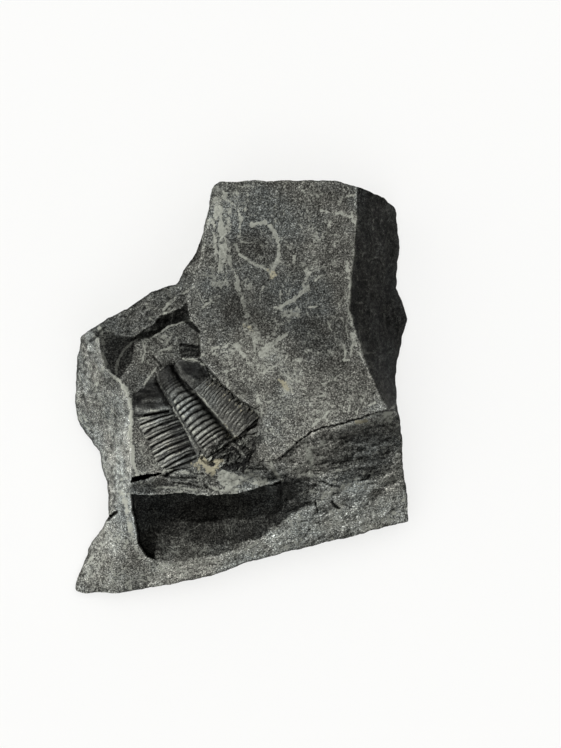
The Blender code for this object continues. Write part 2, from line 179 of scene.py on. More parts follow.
# The rock: sizes in millimetres, counts and shares
rock = {
    "pitch": 0.425, "snap": 0.42, "keep": 0.35, "settle": 1.0, "middle": (-0.1, -1.0), "edgeAngle": 55,
    "warps": ((9, 0.5, 41), (2.4, 0.22, 51)), "treadLump": 7, "hackleSize": 4.2, "grainSize": 1.1,
    "rubAndShadeDepth": 0.16, "footClear": (0.8, 1.6), "bedEdge": (0.4, 1.3), "bedPress": 0.9,
    "undercut": 6.0, "roofRun": 3.6, "roofFade": 6, "lipStart": (0, 5), "lipEnd": (13, 3),
}
sides = {
    "rings": 15, "taper": 0.02, "wander": 2.2, "fullHeight": 30, "lumpSize": (13, 5),
    "layerSize": (25, 0.9), "chipSize": (3, 2), "layerShare": 0.6, "chipShare": 0.4, "inward": 0.5,
    "softness": 60, "tone": 0.085, "rough": 0.8,
}
# how much crests are rubbed paler and hollows darkened with painted shade
crestAndHollowShade = {"near": 0.55, "broad": 0.25, "broadReach": 4, "least": 0.25, "most": 1.9}

# Edge lines are x, y and height, the same as the solid's, before it is centred
topEdge = [(-11, 64, 44.2), (-9.5, 71, 44.5), (-7.5, 72.5, 44.5), (10, 73, 45), (33.5, 73, 45),
           (41.5, 71, 44.8)]
cornerEdge = [(41.5, 71, 44.8), (49.5, 68.5, 28), (54.5, 66, 12), (56, 64.5, 5)]
rightEdge = [(56, 64.5, 5), (57, 56, 3), (57, 49, 3), (56.5, 40, 3.5), (56, 36, 3.5), (58.5, 30.5, 4),
             (60, 24.5, 4), (58, 18, 4), (56.5, 8, 5), (56, -4.5, 10)]
breakEdge = [(56, -4.5, 10), (57, -12, 26), (58, -20, 25), (58.5, -29.5, 20)]
bandEdge = [(58.5, -29.5, 20), (59.5, -35.5, 15), (60.5, -48.5, 10)]
frontEdge = [(60.5, -48.5, 10), (39.5, -54, 12), (21.5, -58.5, 12), (3, -63, 11.5), (-11.5, -68.5, 11),
             (-26, -71.5, 9.5), (-34, -72.8, 8)]
heelEdge = [(-34, -72.8, 8), (-40.5, -74, 7), (-46, -74.6, 6)]
toeEdge = [(-46, -74.6, 6), (-57, -75, 3), (-61, -74, 2.5), (-59.5, -69.5, 2.5), (-57.5, -64, 2.5),
           (-54.5, -56.5, 2.5), (-51.5, -52.5, 3), (-47.5, -46.5, 12)]
columnEdge = [(-47.5, -46.5, 12), (-48.5, -41, 5), (-49, -34, 4), (-51.5, -23.5, 3), (-56.5, -17, 3),
              (-59.5, -12, 3), (-60.5, -3, 3), (-60, 5.5, 4), (-58.5, 13.5, 12), (-57.5, 18, 22),
              (-53.5, 20.5, 38)]
notchEdge = [(-53.5, 20.5, 38), (-46, 25, 38.5), (-37, 30, 39.5), (-31, 34, 40), (-23, 36.5, 40.5),
             (-19, 42.5, 41), (-15.5, 49, 42), (-13, 55, 43), (-11, 64, 44.2)]
rightRidge = [(41.5, 71, 44.8), (41, 59, 45), (40, 48.5, 45), (39, 38, 45), (38.5, 27, 45), (41, 19, 45),
              (43.5, 11, 44.8), (46, 4.5, 44.5), (49.5, -4.5, 44), (52.5, -8, 43.6)]
crack = [(52.5, -8, 43.6), (46, -10, 43.8), (34, -13.5, 44), (25.5, -15.5, 43.8), (21.5, -19, 43.4),
         (17, -22, 43), (13, -25.5, 42.5), (7, -26.5, 42)]
bayRight = [(7, -26.5, 42), (7.5, -18.5, 42.4), (8, -14.5, 42.6), (7.5, -8.5, 43), (0, -4.5, 43.2),
            (-6.5, 1.5, 43.4), (-11, 6, 43.6), (-14, 10.5, 43.8), (-14.5, 20.5, 44), (-17.5, 24, 44.2),
            (-19, 30, 44.3)]
shelfTop = [(-19, 30, 44.3), (-15, 41.5, 44.6), (-12.5, 52, 44.5), (-11, 64, 44.2)]
stepTop = [(-19, 30, 44.3), (-21.5, 27.5, 44), (-28.5, 25.5, 43.6), (-31.5, 22.5, 43.4), (-38, 17.5, 43)]
stepFoot = [(-38, 17, 40), (-32.5, 18, 40.2), (-26.5, 21.5, 40.2), (-21, 23.5, 40.2), (-17.5, 21.5, 40.2),
            (-14.5, 19, 40.2)]
shelfCorner = [(-38, 17.5, 43), (-49.5, 20.2, 41.5), (-53.5, 20.5, 38)]
columnTop = [(-53.5, 20.5, 38), (-50, 17, 40), (-48.5, 7, 38.8), (-43.5, 3, 39)]
columnRidge = [(-43.5, 3, 39), (-40.5, -2.5, 39.2), (-39, -9.5, 39.6), (-39, -26, 39.4), (-38.7, -32, 39)]
facetFoot = [(-43.5, 3, 39), (-38.5, 9.5, 39.4), (-38, 17, 40)]
bayFoot = [(-26.5, -30, 40), (-12.5, -29.5, 40), (0, -30, 40), (7, -26.5, 40)]
cleftLip = [(-38.7, -32, 39), (-32.5, -30.5, 39.8), (-26.5, -30, 40)]
cleftFoot = [(-26.5, -30, 40), (-33, -32.5, 39.3), (-39, -34, 38)]
ledge = [(-39.5, -38, 37), (-28.5, -38, 38), (-13.5, -38, 38.3), (-1.5, -38, 38), (7, -35.5, 37.6),
         (14.5, -33, 36.5)]
hollowLeft = [(-39.5, -38, 35), (-39.5, -41, 32), (-38, -49, 26), (-37, -56, 20), (-34, -61, 16),
              (-29, -64, 14)]
hollowFront = [(-29, -64, 14), (-14.5, -63, 14), (-0.5, -58.5, 15.5), (8.5, -52, 18.5), (15, -46.5, 22)]
hollowRight = [(15, -46.5, 22), (15, -40, 26), (14.5, -33, 36.5)]
bandTop = [(15, -46.5, 22), (25, -44, 24.5), (31, -39.5, 26.5), (39, -34.5, 27), (48.5, -33.5, 24),
           (58.5, -29.5, 20)]
toeRidge = [(-47.5, -46.5, 12), (-45, -50, 20), (-46, -60, 16), (-46, -74.6, 6)]
hollowBack = [(-39.5, -38, 24), (-28.5, -38, 18), (-13.5, -38, 15), (-1.5, -38, 16), (7, -35.5, 23),
              (14.5, -33, 34)]

rockRim = joined(topEdge, cornerEdge, rightEdge, breakEdge, bandEdge, frontEdge, heelEdge, toeEdge,
                 columnEdge, notchEdge)
facets = {
    "plane": joined(topEdge, rightRidge, crack, bayRight, shelfTop),
    "shelf": joined(shelfTop, notchEdge[::-1], shelfCorner[::-1], stepTop[::-1]),
    "slope": joined(shelfCorner, columnTop, facetFoot),
    "step": joined(stepTop, stepFoot, bayRight[-3:]),
    "bay": joined(stepFoot, [(-14, 10.5, 40.2)], dropped(bayRight[-5::-1], 2.6), bayFoot[::-1],
                  cleftLip[::-1], columnRidge[::-1], facetFoot),
    "cleft": joined(dropped(cleftLip, 9), dropped(cleftFoot, 9)),
    "ledge": joined(cleftFoot, ledge, [(7, -26.5, 40)], bayFoot[::-1]),
    "column": joined(columnTop, columnRidge, [(-39, -34, 38)], hollowLeft, heelEdge, toeRidge[::-1],
                     columnEdge),
    "toe": joined(toeEdge, toeRidge),
    "hollow": joined(hollowBack, hollowRight[::-1][1:], hollowFront[::-1],
                     dropped(hollowLeft[::-1][1:-1], 6)),
    "band": joined(bandEdge, frontEdge, hollowFront, bandTop),
    "break": joined(dropped(crack, 0.8), [(7, -26.5, 41.2)], hollowRight[::-1], bandTop, breakEdge[::-1]),
    "flank": joined(rightRidge, [(56, -4.5, 10)], rightEdge[::-1], cornerEdge[::-1]),
}
# how each face broke: width and depth of its lumps, their stretch and turn, height of its treads, depth of
# its hackles and of its grain, how light it is and how rough its finish is. The dark tones of the slope,
# step, cleft and flank are partly painted shade, and the light tone of the band is partly painted light
lookNames = ("lump", "depth", "stretch", "turn", "tread", "hackle", "grain", "tone", "rough")
lookRows = {
    "plane": (22, 0.6, (1, 1), 0, 0.22, 0, 0.08, 0.092, 0.45),
    "shelf": (9, 0.9, (1.5, 1), 0.5, 0.45, 0.2, 0.16, 0.065, 0.7),
    "slope": (8, 0.6, (1, 1), 0.3, 0.35, 0.2, 0.12, 0.028, 0.6),
    "step": (5, 0.8, (1, 1), 0, 0.3, 0.3, 0.15, 0.014, 0.9),
    "bay": (12, 0.3, (1, 1), 0, 0.14, 0, 0.05, 0.088, 0.3),
    "cleft": (4, 0.5, (1, 1), 0, 0.2, 0, 0.1, 0.012, 0.8),
    "ledge": (6, 1.0, (1.6, 1), 0, 0.35, 0.3, 0.2, 0.12, 0.7),
    "column": (11, 0.9, (1, 2.0), 0.1, 0.22, 0.05, 0.04, 0.165, 0.5),
    "toe": (8, 1.2, (1, 1.5), -0.5, 0.4, 0.1, 0.1, 0.18, 0.8),
    "hollow": (13, 1.0, (1.8, 1), 0.2, 0.3, 0.2, 0.1, 0.06, 0.8),
    "band": (6, 0.9, (1.5, 1), 0.25, 0.4, 0.12, 0.14, 0.31, 0.9),
    "break": (8, 1.3, (2.2, 1), 0.12, 0.5, 0.7, 0.12, 0.19, 0.9),
    "flank": (9, 1.5, (1, 2.2), 0.15, 0.5, 0.5, 0.3, 0.022, 0.9),
}
faceLooks = {name: dict(zip(lookNames, row)) for name, row in lookRows.items()}
# creases that are rounded over, with the half width and the reach of the rounding in cells of the grid
softLines = [(hollowRight, 7, 8), (hollowFront, 3, 3), (toeRidge, 6, 6), (bandTop, 1.5, 1),
                  (bayRight[:4], 3.5, 5)]


def warpOf(points):
    # a small sideways wander that makes the broken edges ragged
    shift = np.zeros((len(points), 2))
    for size, reach, seed in rock["warps"]:
        for axis in (0, 1):
            shift[:, axis] += cloud(points, size, seed + axis, 2) * reach
    return shift


def rockFaces(points):
    # height, face number and distance from the face's edge, for the smooth broken faces
    names = list(facets)
    height = np.full(len(points), -np.inf)
    face = np.zeros(len(points), dtype=int)
    inset = np.zeros(len(points))
    reach = np.full(len(points), np.inf)
    edgeHeight = np.zeros(len(points))
    edgeFace = np.zeros(len(points), dtype=int)
    for number in range(len(names) - 1, -1, -1):
        loop = facets[names[number]]
        foot, distance, _ = nearestOn(points, loop, closed=True)
        held = insideLoop(points, loop) | (distance < 0.01)
        candidate = np.full(len(points), -np.inf)
        candidate[held] = spanLoop(points[held], loop)
        higher = candidate > height
        height[higher] = candidate[higher]
        face[higher] = number
        inset[higher] = distance[higher]
        closer = distance < reach
        reach[closer] = distance[closer]
        edgeHeight[closer] = spanLoop(foot[closer], loop)
        edgeFace[closer] = number
    loose = ~np.isfinite(height)
    height[loose] = edgeHeight[loose]
    face[loose] = edgeFace[loose]
    return height, face, inset


def rockRelief(points, face, inset):
    # lumps, split treads, hackles and grain that each face adds to its height
    relief = np.zeros(len(points))
    for number, look in enumerate(faceLooks.values()):
        held = face == number
        if not held.any():
            continue
        spots = points[held]
        stretch, turn = look["stretch"], look["turn"]
        lumps = cloud(spots, look["lump"], number + 1, 5, stretch, turn) * look["depth"]
        split = cloud(spots, rock["treadLump"], 31, 4, stretch, turn) * look["tread"] * 1.6
        treads = terraces(lumps * 0.9 + split, look["tread"])
        ridges = 0.5 - np.abs(cloud(spots, rock["hackleSize"], 61 + number, 3, stretch, turn))
        grain = cloud(spots, rock["grainSize"], 33, 3) * look["grain"]
        relief[held] = lumps * 0.4 + treads * 0.6 + ridges * look["hackle"] + grain
    return relief * (0.15 + 0.85 * smooth(inset, 0, rock["settle"]))


def valuesFor(face, key):
    table = np.array([look[key] for look in faceLooks.values()], dtype=float)
    return table[face]


def trimmedGrid(rim, pitch, warp=None):
    # a flat grid of square cells over a rim: the mesh, its points warped and not, their whole-number
    # places, and which of them lie at the rim
    low, high = rim[:, :2].min(axis=0) - 1, rim[:, :2].max(axis=0) + 1
    steps = np.ceil((high - low) / pitch).astype(int)
    bm = bmesh.new()
    bmesh.ops.create_grid(bm, x_segments=int(steps[0]), y_segments=int(steps[1]), size=0.5)
    bmesh.ops.scale(bm, vec=(*(high - low), 1), verts=bm.verts)
    bmesh.ops.translate(bm, vec=(*((low + high) / 2), 0), verts=bm.verts)
    points = np.array([vert.co.xy for vert in bm.verts])
    if warp:
        points = points + warp(points)
    inside, distance = loopField(points, rim)
    outer = ~inside | (distance < pitch * rock["keep"])
    bmesh.ops.delete(bm, geom=[vert for vert, gone in zip(bm.verts, outer) if gone], context="VERTS")
    bmesh.ops.delete(bm, geom=[vert for vert in bm.verts if not vert.link_faces], context="VERTS")
    flat = np.array([vert.co.xy for vert in bm.verts])
    places = np.round((flat - low) / ((high - low) / steps)).astype(int)
    points = flat + warp(flat) if warp else flat.copy()
    atRim = np.array([vert.is_boundary for vert in bm.verts])
    points[atRim], _, _ = nearestOn(points[atRim], rim, closed=True)
    return bm, points, points - (warp(flat) if warp else 0), places, atRim


def storeLayer(bm, name, values):
    layer = bm.verts.layers.float_color.new(name)
    for vert, value in zip(bm.verts, values):
        vert[layer] = (*value, 1.0)


def placed(name, data):
    made = bpy.data.objects.new(name, data)
    bpy.context.scene.collection.objects.link(made)
    return made


def makeObject(name, bm, material):
    mesh = bpy.data.meshes.new(name)
    bm.to_mesh(mesh)
    bm.free()
    mesh.materials.append(material)
    return placed(name, mesh)


def makeStone(name, bm, material, sharp):
    # sharp is the angle in degrees from which an edge is shaded as a crease
    bmesh.ops.recalc_face_normals(bm, faces=bm.faces)
    bmesh.ops.scale(bm, vec=(mm, mm, mm), verts=bm.verts)
    made = makeObject(name, bm, material)
    made.data.shade_smooth()
    made.data.set_sharp_from_angle(angle=math.radians(sharp))
    return made


def rubbedAndShaded(places, height, tone, reach, depth):
    # crests are rubbed paler, and hollows are darkened with painted shade
    wide = crestAndHollowShade["broadReach"]
    stand = height - gridMean(places, height, reach)
    broad = height - gridMean(places, height, reach * wide)
    lift = np.clip(stand / depth, -1, 1) * crestAndHollowShade["near"]
    lift += np.clip(broad / (depth * wide), -1, 1) * crestAndHollowShade["broad"]
    return tone * np.clip(1 + lift, crestAndHollowShade["least"], crestAndHollowShade["most"])


def makeRock(material):
    print("rock: grid")
    bm, points, flat, places, atRim = trimmedGrid(rockRim, rock["pitch"], warpOf)
    best = np.full(len(points), rock["pitch"] * rock["snap"])
    best[atRim] = 0
    moved = points.copy()
    for loop in facets.values():  # the points near an edge of a face move onto it
        place, distance, _ = nearestOn(points, loop, closed=True)
        closer = distance < best
        moved[closer] = place[closer]
        best[closer] = distance[closer]
    shift = points - flat
    points = moved

    print("rock: surface")
    height, face, inset = rockFaces(points)
    tone, rough = valuesFor(face, "tone"), valuesFor(face, "rough")
    height, tone = softened(points, places, height, tone)
    height += rockRelief(points, face, inset)
    middle = np.array(rock["middle"])
    height, tone, marks = markRock(points - middle, height, tone)
    # crests rubbed paler and painted shade in hollows, except along the foot of the step
    rubbedAndShadedTone = rubbedAndShaded(places, height, tone, 1, rock["rubAndShadeDepth"])
    tone = rubbedAndShadedTone + (tone - rubbedAndShadedTone) * (1 - smooth(distanceTo(points, stepFoot), *rock["footClear"]))
    inside, distance = loopField(points - shift - middle, margin)
    height -= smooth(np.where(inside, distance, 0), *rock["bedEdge"]) * rock["bedPress"]
    shaped = hollowRoof(np.column_stack([points, height]), points)
    shaped[:, :2] -= shift + middle
    for vert, place in zip(bm.verts, shaped):
        vert.co = place
    storeLayer(bm, "looks", np.column_stack([tone, rough, np.zeros(len(tone))]))
    storeLayer(bm, "marks", marks)

    print("rock: sides")
    dropSides(bm)
    return makeStone("shale_block", bm, material, rock["edgeAngle"])


def softened(points, places, height, tone):
    # the creases beside the hollow and along the toe are rounded over
    offLedge = smooth(distanceTo(points, ledge), 0.3, 1.2)
    for line, width, reach in softLines:
        amount = (1 - smooth(distanceTo(points, line), width * 0.3, width)) * offLedge
        height = height + (gridMean(places, height, reach) - height) * amount
        tone = tone + (gridMean(places, tone, reach) - tone) * amount
    return height, tone


def hollowRoof(places, points):
    # the wall behind the hollow leans in under the ledge
    _, distance, share = nearestOn(points, ledge)
    lip = np.array(ledge, dtype=float)
    left, right = lip[0, 0], lip[-1, 0]
    lipZ = np.interp(share * (len(lip) - 1), range(len(lip)), lip[:, 2])
    lipY = np.interp(points[:, 0], lip[:, 0], lip[:, 1])
    run = rock["roofRun"]
    wall = insideLoop(points, facets["hollow"]) & (distance < run) & (points[:, 0] < right)
    part = distance[wall] / run
    x = points[wall, 0]
    hold = 1 - smooth(x, right - rock["roofFade"], right)
    places[wall, 2] += (lipZ[wall] - places[wall, 2]) * (1 - part) * hold
    (startLow, startHigh), (endLow, endHigh) = rock["lipStart"], rock["lipEnd"]
    ends = smooth(x, left + startLow, left + startHigh) * (1 - smooth(x, right - endLow, right - endHigh))
    lean = lipY[wall] - run * part + rock["undercut"] * np.sin(math.pi * part) * ends
    places[wall, 1] += (lean - places[wall, 1]) * hold
    return places


def dropSides(bm):
    # rings of points go down from the rim to the resting face, with lumps, layers and chips on the way
    rimEdges = [edge for edge in bm.edges if edge.is_boundary]
    start = {vert: vert.co.copy() for edge in rimEdges for vert in edge.verts}
    low = Vector([min(place[axis] for place in start.values()) for axis in range(3)])
    high = Vector([max(place[axis] for place in start.values()) for axis in range(3)])
    looks = bm.verts.layers.float_color["looks"]
    marks = bm.verts.layers.float_color["marks"]
    noise.seed_set(7)  # without it the noise vectors change with the clock
    for ring in range(1, sides["rings"] + 1):
        share = ring / sides["rings"]
        made = bmesh.ops.extrude_edge_only(bm, edges=rimEdges)["geom"]
        rimEdges = [part for part in made if isinstance(part, bmesh.types.BMEdge) and part.is_boundary]
        following = {}
        for vert in {vert for edge in rimEdges for vert in edge.verts}:
            others = (edge.other_vert(vert) for edge in vert.link_edges)
            rim = following[vert] = start[next(other for other in others if other in start)]
            height = rim.z * (1 - share)
            lumpAt, layerAt, chipAt = (Vector((rim.x / wide, rim.y / wide, height / high)) for wide, high in
                                       (sides["lumpSize"], sides["layerSize"], sides["chipSize"]))
            rough = min(1.0, rim.z / sides["fullHeight"]) * math.sin(math.pi * min(share, 0.5))
            wander = noise.noise_vector(lumpAt) * sides["wander"] * rough
            layer = noise.fractal(layerAt, 0.7, 2.2, 3) * rough
            chip = noise.fractal(chipAt, 0.9, 2.0, 3) * rough
            depth = layer * sides["layerShare"] + chip * sides["chipShare"] - sides["inward"] * rough
            scale = 1 - sides["taper"] * share + depth / sides["softness"]
            vert.co.x = min(max(rim.x * scale + wander.x, low.x), high.x)
            vert.co.y = min(max(rim.y * scale + wander.y, low.y), high.y)
            vert.co.z = height
            vert[looks] = (sides["tone"] * (1 + 0.5 * layer + 0.3 * chip), sides["rough"], 0, 1)
            vert[marks] = (0, 0, 0, 1)
        start = following
    bmesh.ops.edgeloop_fill(bm, edges=rimEdges)


# Marks on the rock, by photograph pixels, with half width or feather in millimetres, and strength

def raggedNear(points, near, value, size, seed, octaves, amount):
    # adds a wobble to a value near a mark, and leaves 0 elsewhere
    shaped = np.zeros(len(points))
    if near.any():
        shaped[near] = value[near] + cloud(points[near], size, seed, octaves) * amount
    return shaped


def stroke(points, line, width, ragged):
    # 1 on the line, falling to 0 at its width, with a ragged outline
    distance = distanceTo(points, line)
    near = distance < width * 2.5
    wobbly = raggedNear(points, near, distance, max(width * 2, 1.2), 9, 3, ragged * width)
    return np.where(near, np.clip(1 - wobbly / width, 0, 1), 0)


def blot(points, loop, feather):
    # 1 inside a loop, fading over the feather at its ragged edge
    inside, distance = loopField(points, loop)
    signed = np.where(inside, distance, -distance)
    near = signed > -feather * 3
    wobbly = raggedNear(points, near, signed, max(feather * 2, 2), 4, 4, feather * 1.6)
    return np.where(near, smooth(wobbly, -feather, feather), 0)


def withBlots(points, value, blots, level):
    # raises a value to the strength of some blots
    for loop, feather, strength in blots:
        value = np.maximum(value, blot(points, fromPhoto(loop, level), feather) * strength)
    return value


def withLines(points, value, lines, level, ragged, gain=1.0):
    # raises a value to the strength of some lines with soft edges
    for line, width, strength in lines:
        cover = np.minimum(stroke(points, fromPhoto(line, level), width * 1.5, ragged) * 2, 1)
        value = np.maximum(value, cover * strength * gain)
    return value


def withCuts(points, height, dark, lines, level, slope):
    # lowers the height along some cuts and darkens them with painted shade
    for line, width, depth in lines:
        hold = stroke(points, fromPhoto(line, level), width * 1.5, 0.3)
        height = height - smooth(hold, 0, slope) * depth
        dark = np.maximum(dark, smooth(hold, 0, 0.8) * min(0.9, depth))
    return height, dark


paleLines = [
    ([(252, 224), (264, 222), (270, 226), (275, 232), (279, 246), (278, 262), (271, 272)], 0.55, 0.95),
    ([(236, 244), (239, 254), (247, 260), (257, 266), (266, 269), (271, 272)], 0.4, 0.8),
    ([(216, 200), (218, 215), (222, 235), (223, 250), (220, 272)], 1.0, 0.6),
    ([(221, 206), (220, 218), (224, 232), (226, 246), (225, 262)], 0.6, 0.7),
    ([(213, 222), (214, 236), (217, 250), (216, 262)], 0.5, 0.5),
    ([(237, 190), (238, 205), (240, 222), (239, 240)], 0.4, 0.45),
    ([(247, 183), (248, 196), (246, 210)], 0.4, 0.35),
    ([(228, 205), (229, 225), (227, 240), (231, 262)], 0.9, 0.35),
    ([(222, 190), (226, 200), (233, 208)], 0.6, 0.35),
    ([(236, 284), (241, 298), (244, 306), (247, 316)], 0.55, 0.55),
    ([(282, 307), (288, 302), (297, 296), (303, 291), (308, 287)], 0.6, 0.75),
    ([(259, 356), (268, 350), (277, 342), (286, 334)], 0.5, 0.6),
    ([(263, 349), (270, 344), (279, 337)], 0.4, 0.5),
    ([(206, 356), (222, 352), (240, 350), (264, 352)], 0.4, 0.4),
    ([(231, 264), (236, 276), (240, 290), (248, 316)], 0.45, 0.6),
    ([(303, 262), (307, 272), (305, 284), (310, 293)], 0.8, 0.4),
    ([(285, 314), (291, 313), (299, 316)], 0.9, 0.6),
    ([(262, 342), (274, 332), (286, 322), (298, 310)], 1.0, 0.3),
    ([(346, 262), (350, 282), (349, 300), (350, 312), (353, 326), (358, 338), (364, 352)], 0.6, 0.42),
    ([(342, 318), (346, 328), (352, 334), (356, 346)], 0.6, 0.5),
    ([(312, 195), (315, 206), (322, 210), (330, 213), (342, 214), (352, 217), (357, 226)], 0.45, 0.45),
    ([(328, 226), (332, 218), (340, 212)], 0.4, 0.4),
    ([(300, 186), (306, 196), (318, 200)], 0.4, 0.35),
    ([(164, 309), (172, 300), (184, 292), (192, 289)], 0.5, 0.5),
    ([(150, 318), (160, 316), (170, 309)], 0.5, 0.4),
    ([(98, 326), (103, 340), (104, 356), (106, 368), (112, 376), (118, 381)], 0.6, 0.6),
    ([(118, 381), (125, 390), (129, 402), (131, 416), (131, 440), (132, 462), (137, 475)], 0.55, 0.7),
    ([(104, 366), (96, 380), (92, 392)], 0.5, 0.4),
    ([(120, 480), (122, 500), (126, 520), (130, 540), (136, 560)], 0.8, 0.4),
    ([(303, 438), (307, 452), (312, 466)], 1.0, 0.45),
    ([(237, 345), (243, 353), (248, 362)], 0.7, 0.6),
    ([(200, 358), (210, 350), (222, 347), (236, 346)], 0.5, 0.4),
    ([(184, 359), (194, 361), (204, 365)], 0.45, 0.6),
    ([(155, 361), (163, 352), (174, 347), (181, 348)], 0.6, 0.35),
    ([(136, 336), (146, 331), (160, 325)], 0.5, 0.35),
    ([(218, 480), (223, 485), (227, 489)], 0.4, 0.9),
    ([(270, 462), (274, 470), (279, 478)], 0.4, 0.6),
    ([(244, 470), (258, 474), (266, 482)], 0.5, 0.4),
    ([(165, 470), (180, 473), (194, 472)], 0.4, 0.7),
    ([(158, 487), (176, 489), (196, 490)], 0.4, 0.5),
    ([(210, 487), (222, 492), (240, 490)], 0.4, 0.6),
    ([(238, 478), (252, 484), (268, 483)], 0.4, 0.6),
    ([(168, 456), (160, 478)], 0.3, 0.3),
    ([(163, 359), (152, 371), (144, 384)], 0.35, 0.45),
    ([(154, 354), (162, 349), (172, 347), (180, 348)], 0.35, 0.5),
    ([(114, 374), (117, 362), (124, 350), (133, 341), (138, 338), (150, 336), (160, 332), (171, 326),
      (182, 322), (191, 320)], 0.28, 0.9),
    ([(142, 342), (144, 352), (142, 362)], 0.35, 0.5),
]
paleBlots = [
    ([(208, 279), (216, 275), (228, 278), (230, 285), (218, 288), (208, 286)], 1.0, 0.6),
    ([(245, 326), (256, 322), (264, 334), (262, 344), (250, 346)], 1.6, 0.6),
    ([(242, 345), (290, 340), (300, 366), (296, 388), (262, 392), (245, 380)], 4.0, 0.42),
    ([(212, 348), (236, 346), (244, 380), (232, 378), (216, 362)], 2.5, 0.34),
    ([(278, 378), (292, 380), (296, 390), (282, 394)], 1.2, 0.6),
    ([(262, 396), (300, 392), (330, 400), (350, 410), (330, 424), (300, 428), (272, 420)], 4.0, 0.36),
    ([(300, 366), (330, 372), (386, 398), (386, 408), (340, 404), (310, 390)], 4.0, 0.26),
    ([(378, 196), (394, 202), (394, 220), (380, 214)], 1.5, 0.4),
    ([(214, 200), (232, 203), (230, 265), (216, 268)], 2.5, 0.28),
    ([(216, 474), (228, 472), (237, 476), (240, 484), (230, 489), (219, 482)], 0.6, 1.0),
    ([(218, 477), (221, 479), (226, 487), (223, 488), (219, 482)], 0.3, 1.0),
    ([(175, 474), (200, 468), (214, 478), (206, 488), (180, 486)], 1.5, 0.3),
    ([(236, 470), (256, 472), (262, 480), (244, 482)], 1.2, 0.35),
    ([(76, 560), (100, 540), (116, 540), (120, 590), (78, 592)], 3.0, 0.3),
    ([(140, 560), (250, 540), (320, 512), (405, 486), (407, 518), (300, 546), (200, 575), (130, 590)],
      3.0, 0.28),
    ([(84, 370), (118, 392), (128, 440), (126, 500), (112, 500), (96, 430), (80, 410)], 4.0, 0.28),
    ([(166, 290), (190, 270), (205, 255), (208, 280), (196, 300), (172, 312)], 3.0, 0.25),
    ([(384, 412), (391, 411.5), (393, 420), (391, 425), (385, 420)], 0.25, 1.1),
    ([(302, 458), (312, 456), (319, 461), (310, 465)], 0.7, 0.55),
    ([(290, 472), (300, 473), (310, 472), (318, 478), (308, 478)], 0.6, 0.55),
    ([(322, 492), (340, 486), (348, 484), (352, 487), (336, 494), (322, 500)], 1.0, 0.5),
]
tanBlots = [
    ([(195, 461), (200, 457), (206, 460), (213, 465), (219, 458), (222, 461), (217, 470), (213, 477),
      (206, 475), (203, 468)], 0.7, 0.76),
    ([(190, 462), (197, 463), (202, 470), (196, 470)], 0.8, 0.6),
    ([(353, 421), (366, 418.5), (368, 422), (356, 425)], 0.2, 1.1),
    ([(268, 270), (275, 271), (276, 278), (270, 279)], 1.0, 0.68),
    ([(247, 325), (254, 326), (252, 334), (246, 333)], 1.2, 0.5),
    ([(278, 380), (290, 380), (292, 390), (282, 392)], 1.3, 0.64),
    ([(216, 418), (226, 424), (238, 437), (232, 442), (222, 430)], 1.0, 0.35),
    ([(160, 438), (172, 444), (178, 452), (166, 452)], 1.2, 0.3),
]
darkBlots = [
    ([(240, 458), (256, 454), (264, 462), (262, 478), (248, 480), (238, 470)], 1.0, 0.55),
    ([(244, 409), (256, 410), (263, 416), (262, 424), (250, 429), (240, 421)], 0.8, 0.55),
    # painted shadow in the pit by the broken head end
    ([(252, 436), (262, 434), (264, 442), (256, 446), (248, 442)], 0.6, 0.8),
    ([(224, 452), (236, 450), (245, 456), (246, 466), (234, 468), (226, 462)], 0.9, 0.7),
    ([(240, 440), (250, 438), (258, 440), (254, 448), (242, 448)], 0.9, 0.55),
    # painted shade in the gap left of the ledge
    ([(130, 480), (150, 479), (170, 474), (168, 486), (150, 492), (130, 493)], 1.5, 0.5),
    ([(255, 462), (270, 462), (277, 476), (262, 482), (254, 478)], 1.2, 0.5),
    ([(182, 345), (199, 346), (203, 358), (182, 357)], 0.22, 0.72),
    # painted shadow at the tip of the tail, beside the end of the axis
    ([(161, 365), (172.5, 359), (173, 367), (165, 369)], 0.25, 0.8),
    ([(182, 345), (198, 346), (198, 348), (182, 347)], 0.22, 0.9),
    ([(131, 394), (135, 392), (136, 418), (132, 418)], 0.3, 0.75),
    ([(230, 225), (268, 240), (266, 262), (240, 250)], 4.0, 0.2),
    ([(285, 320), (345, 320), (345, 350), (300, 350)], 6.0, 0.22),
    ([(225, 290), (280, 290), (270, 318), (235, 320)], 5.0, 0.2),
    ([(352, 420), (395, 415), (400, 470), (340, 470), (320, 440)], 3.0, 0.2),
]
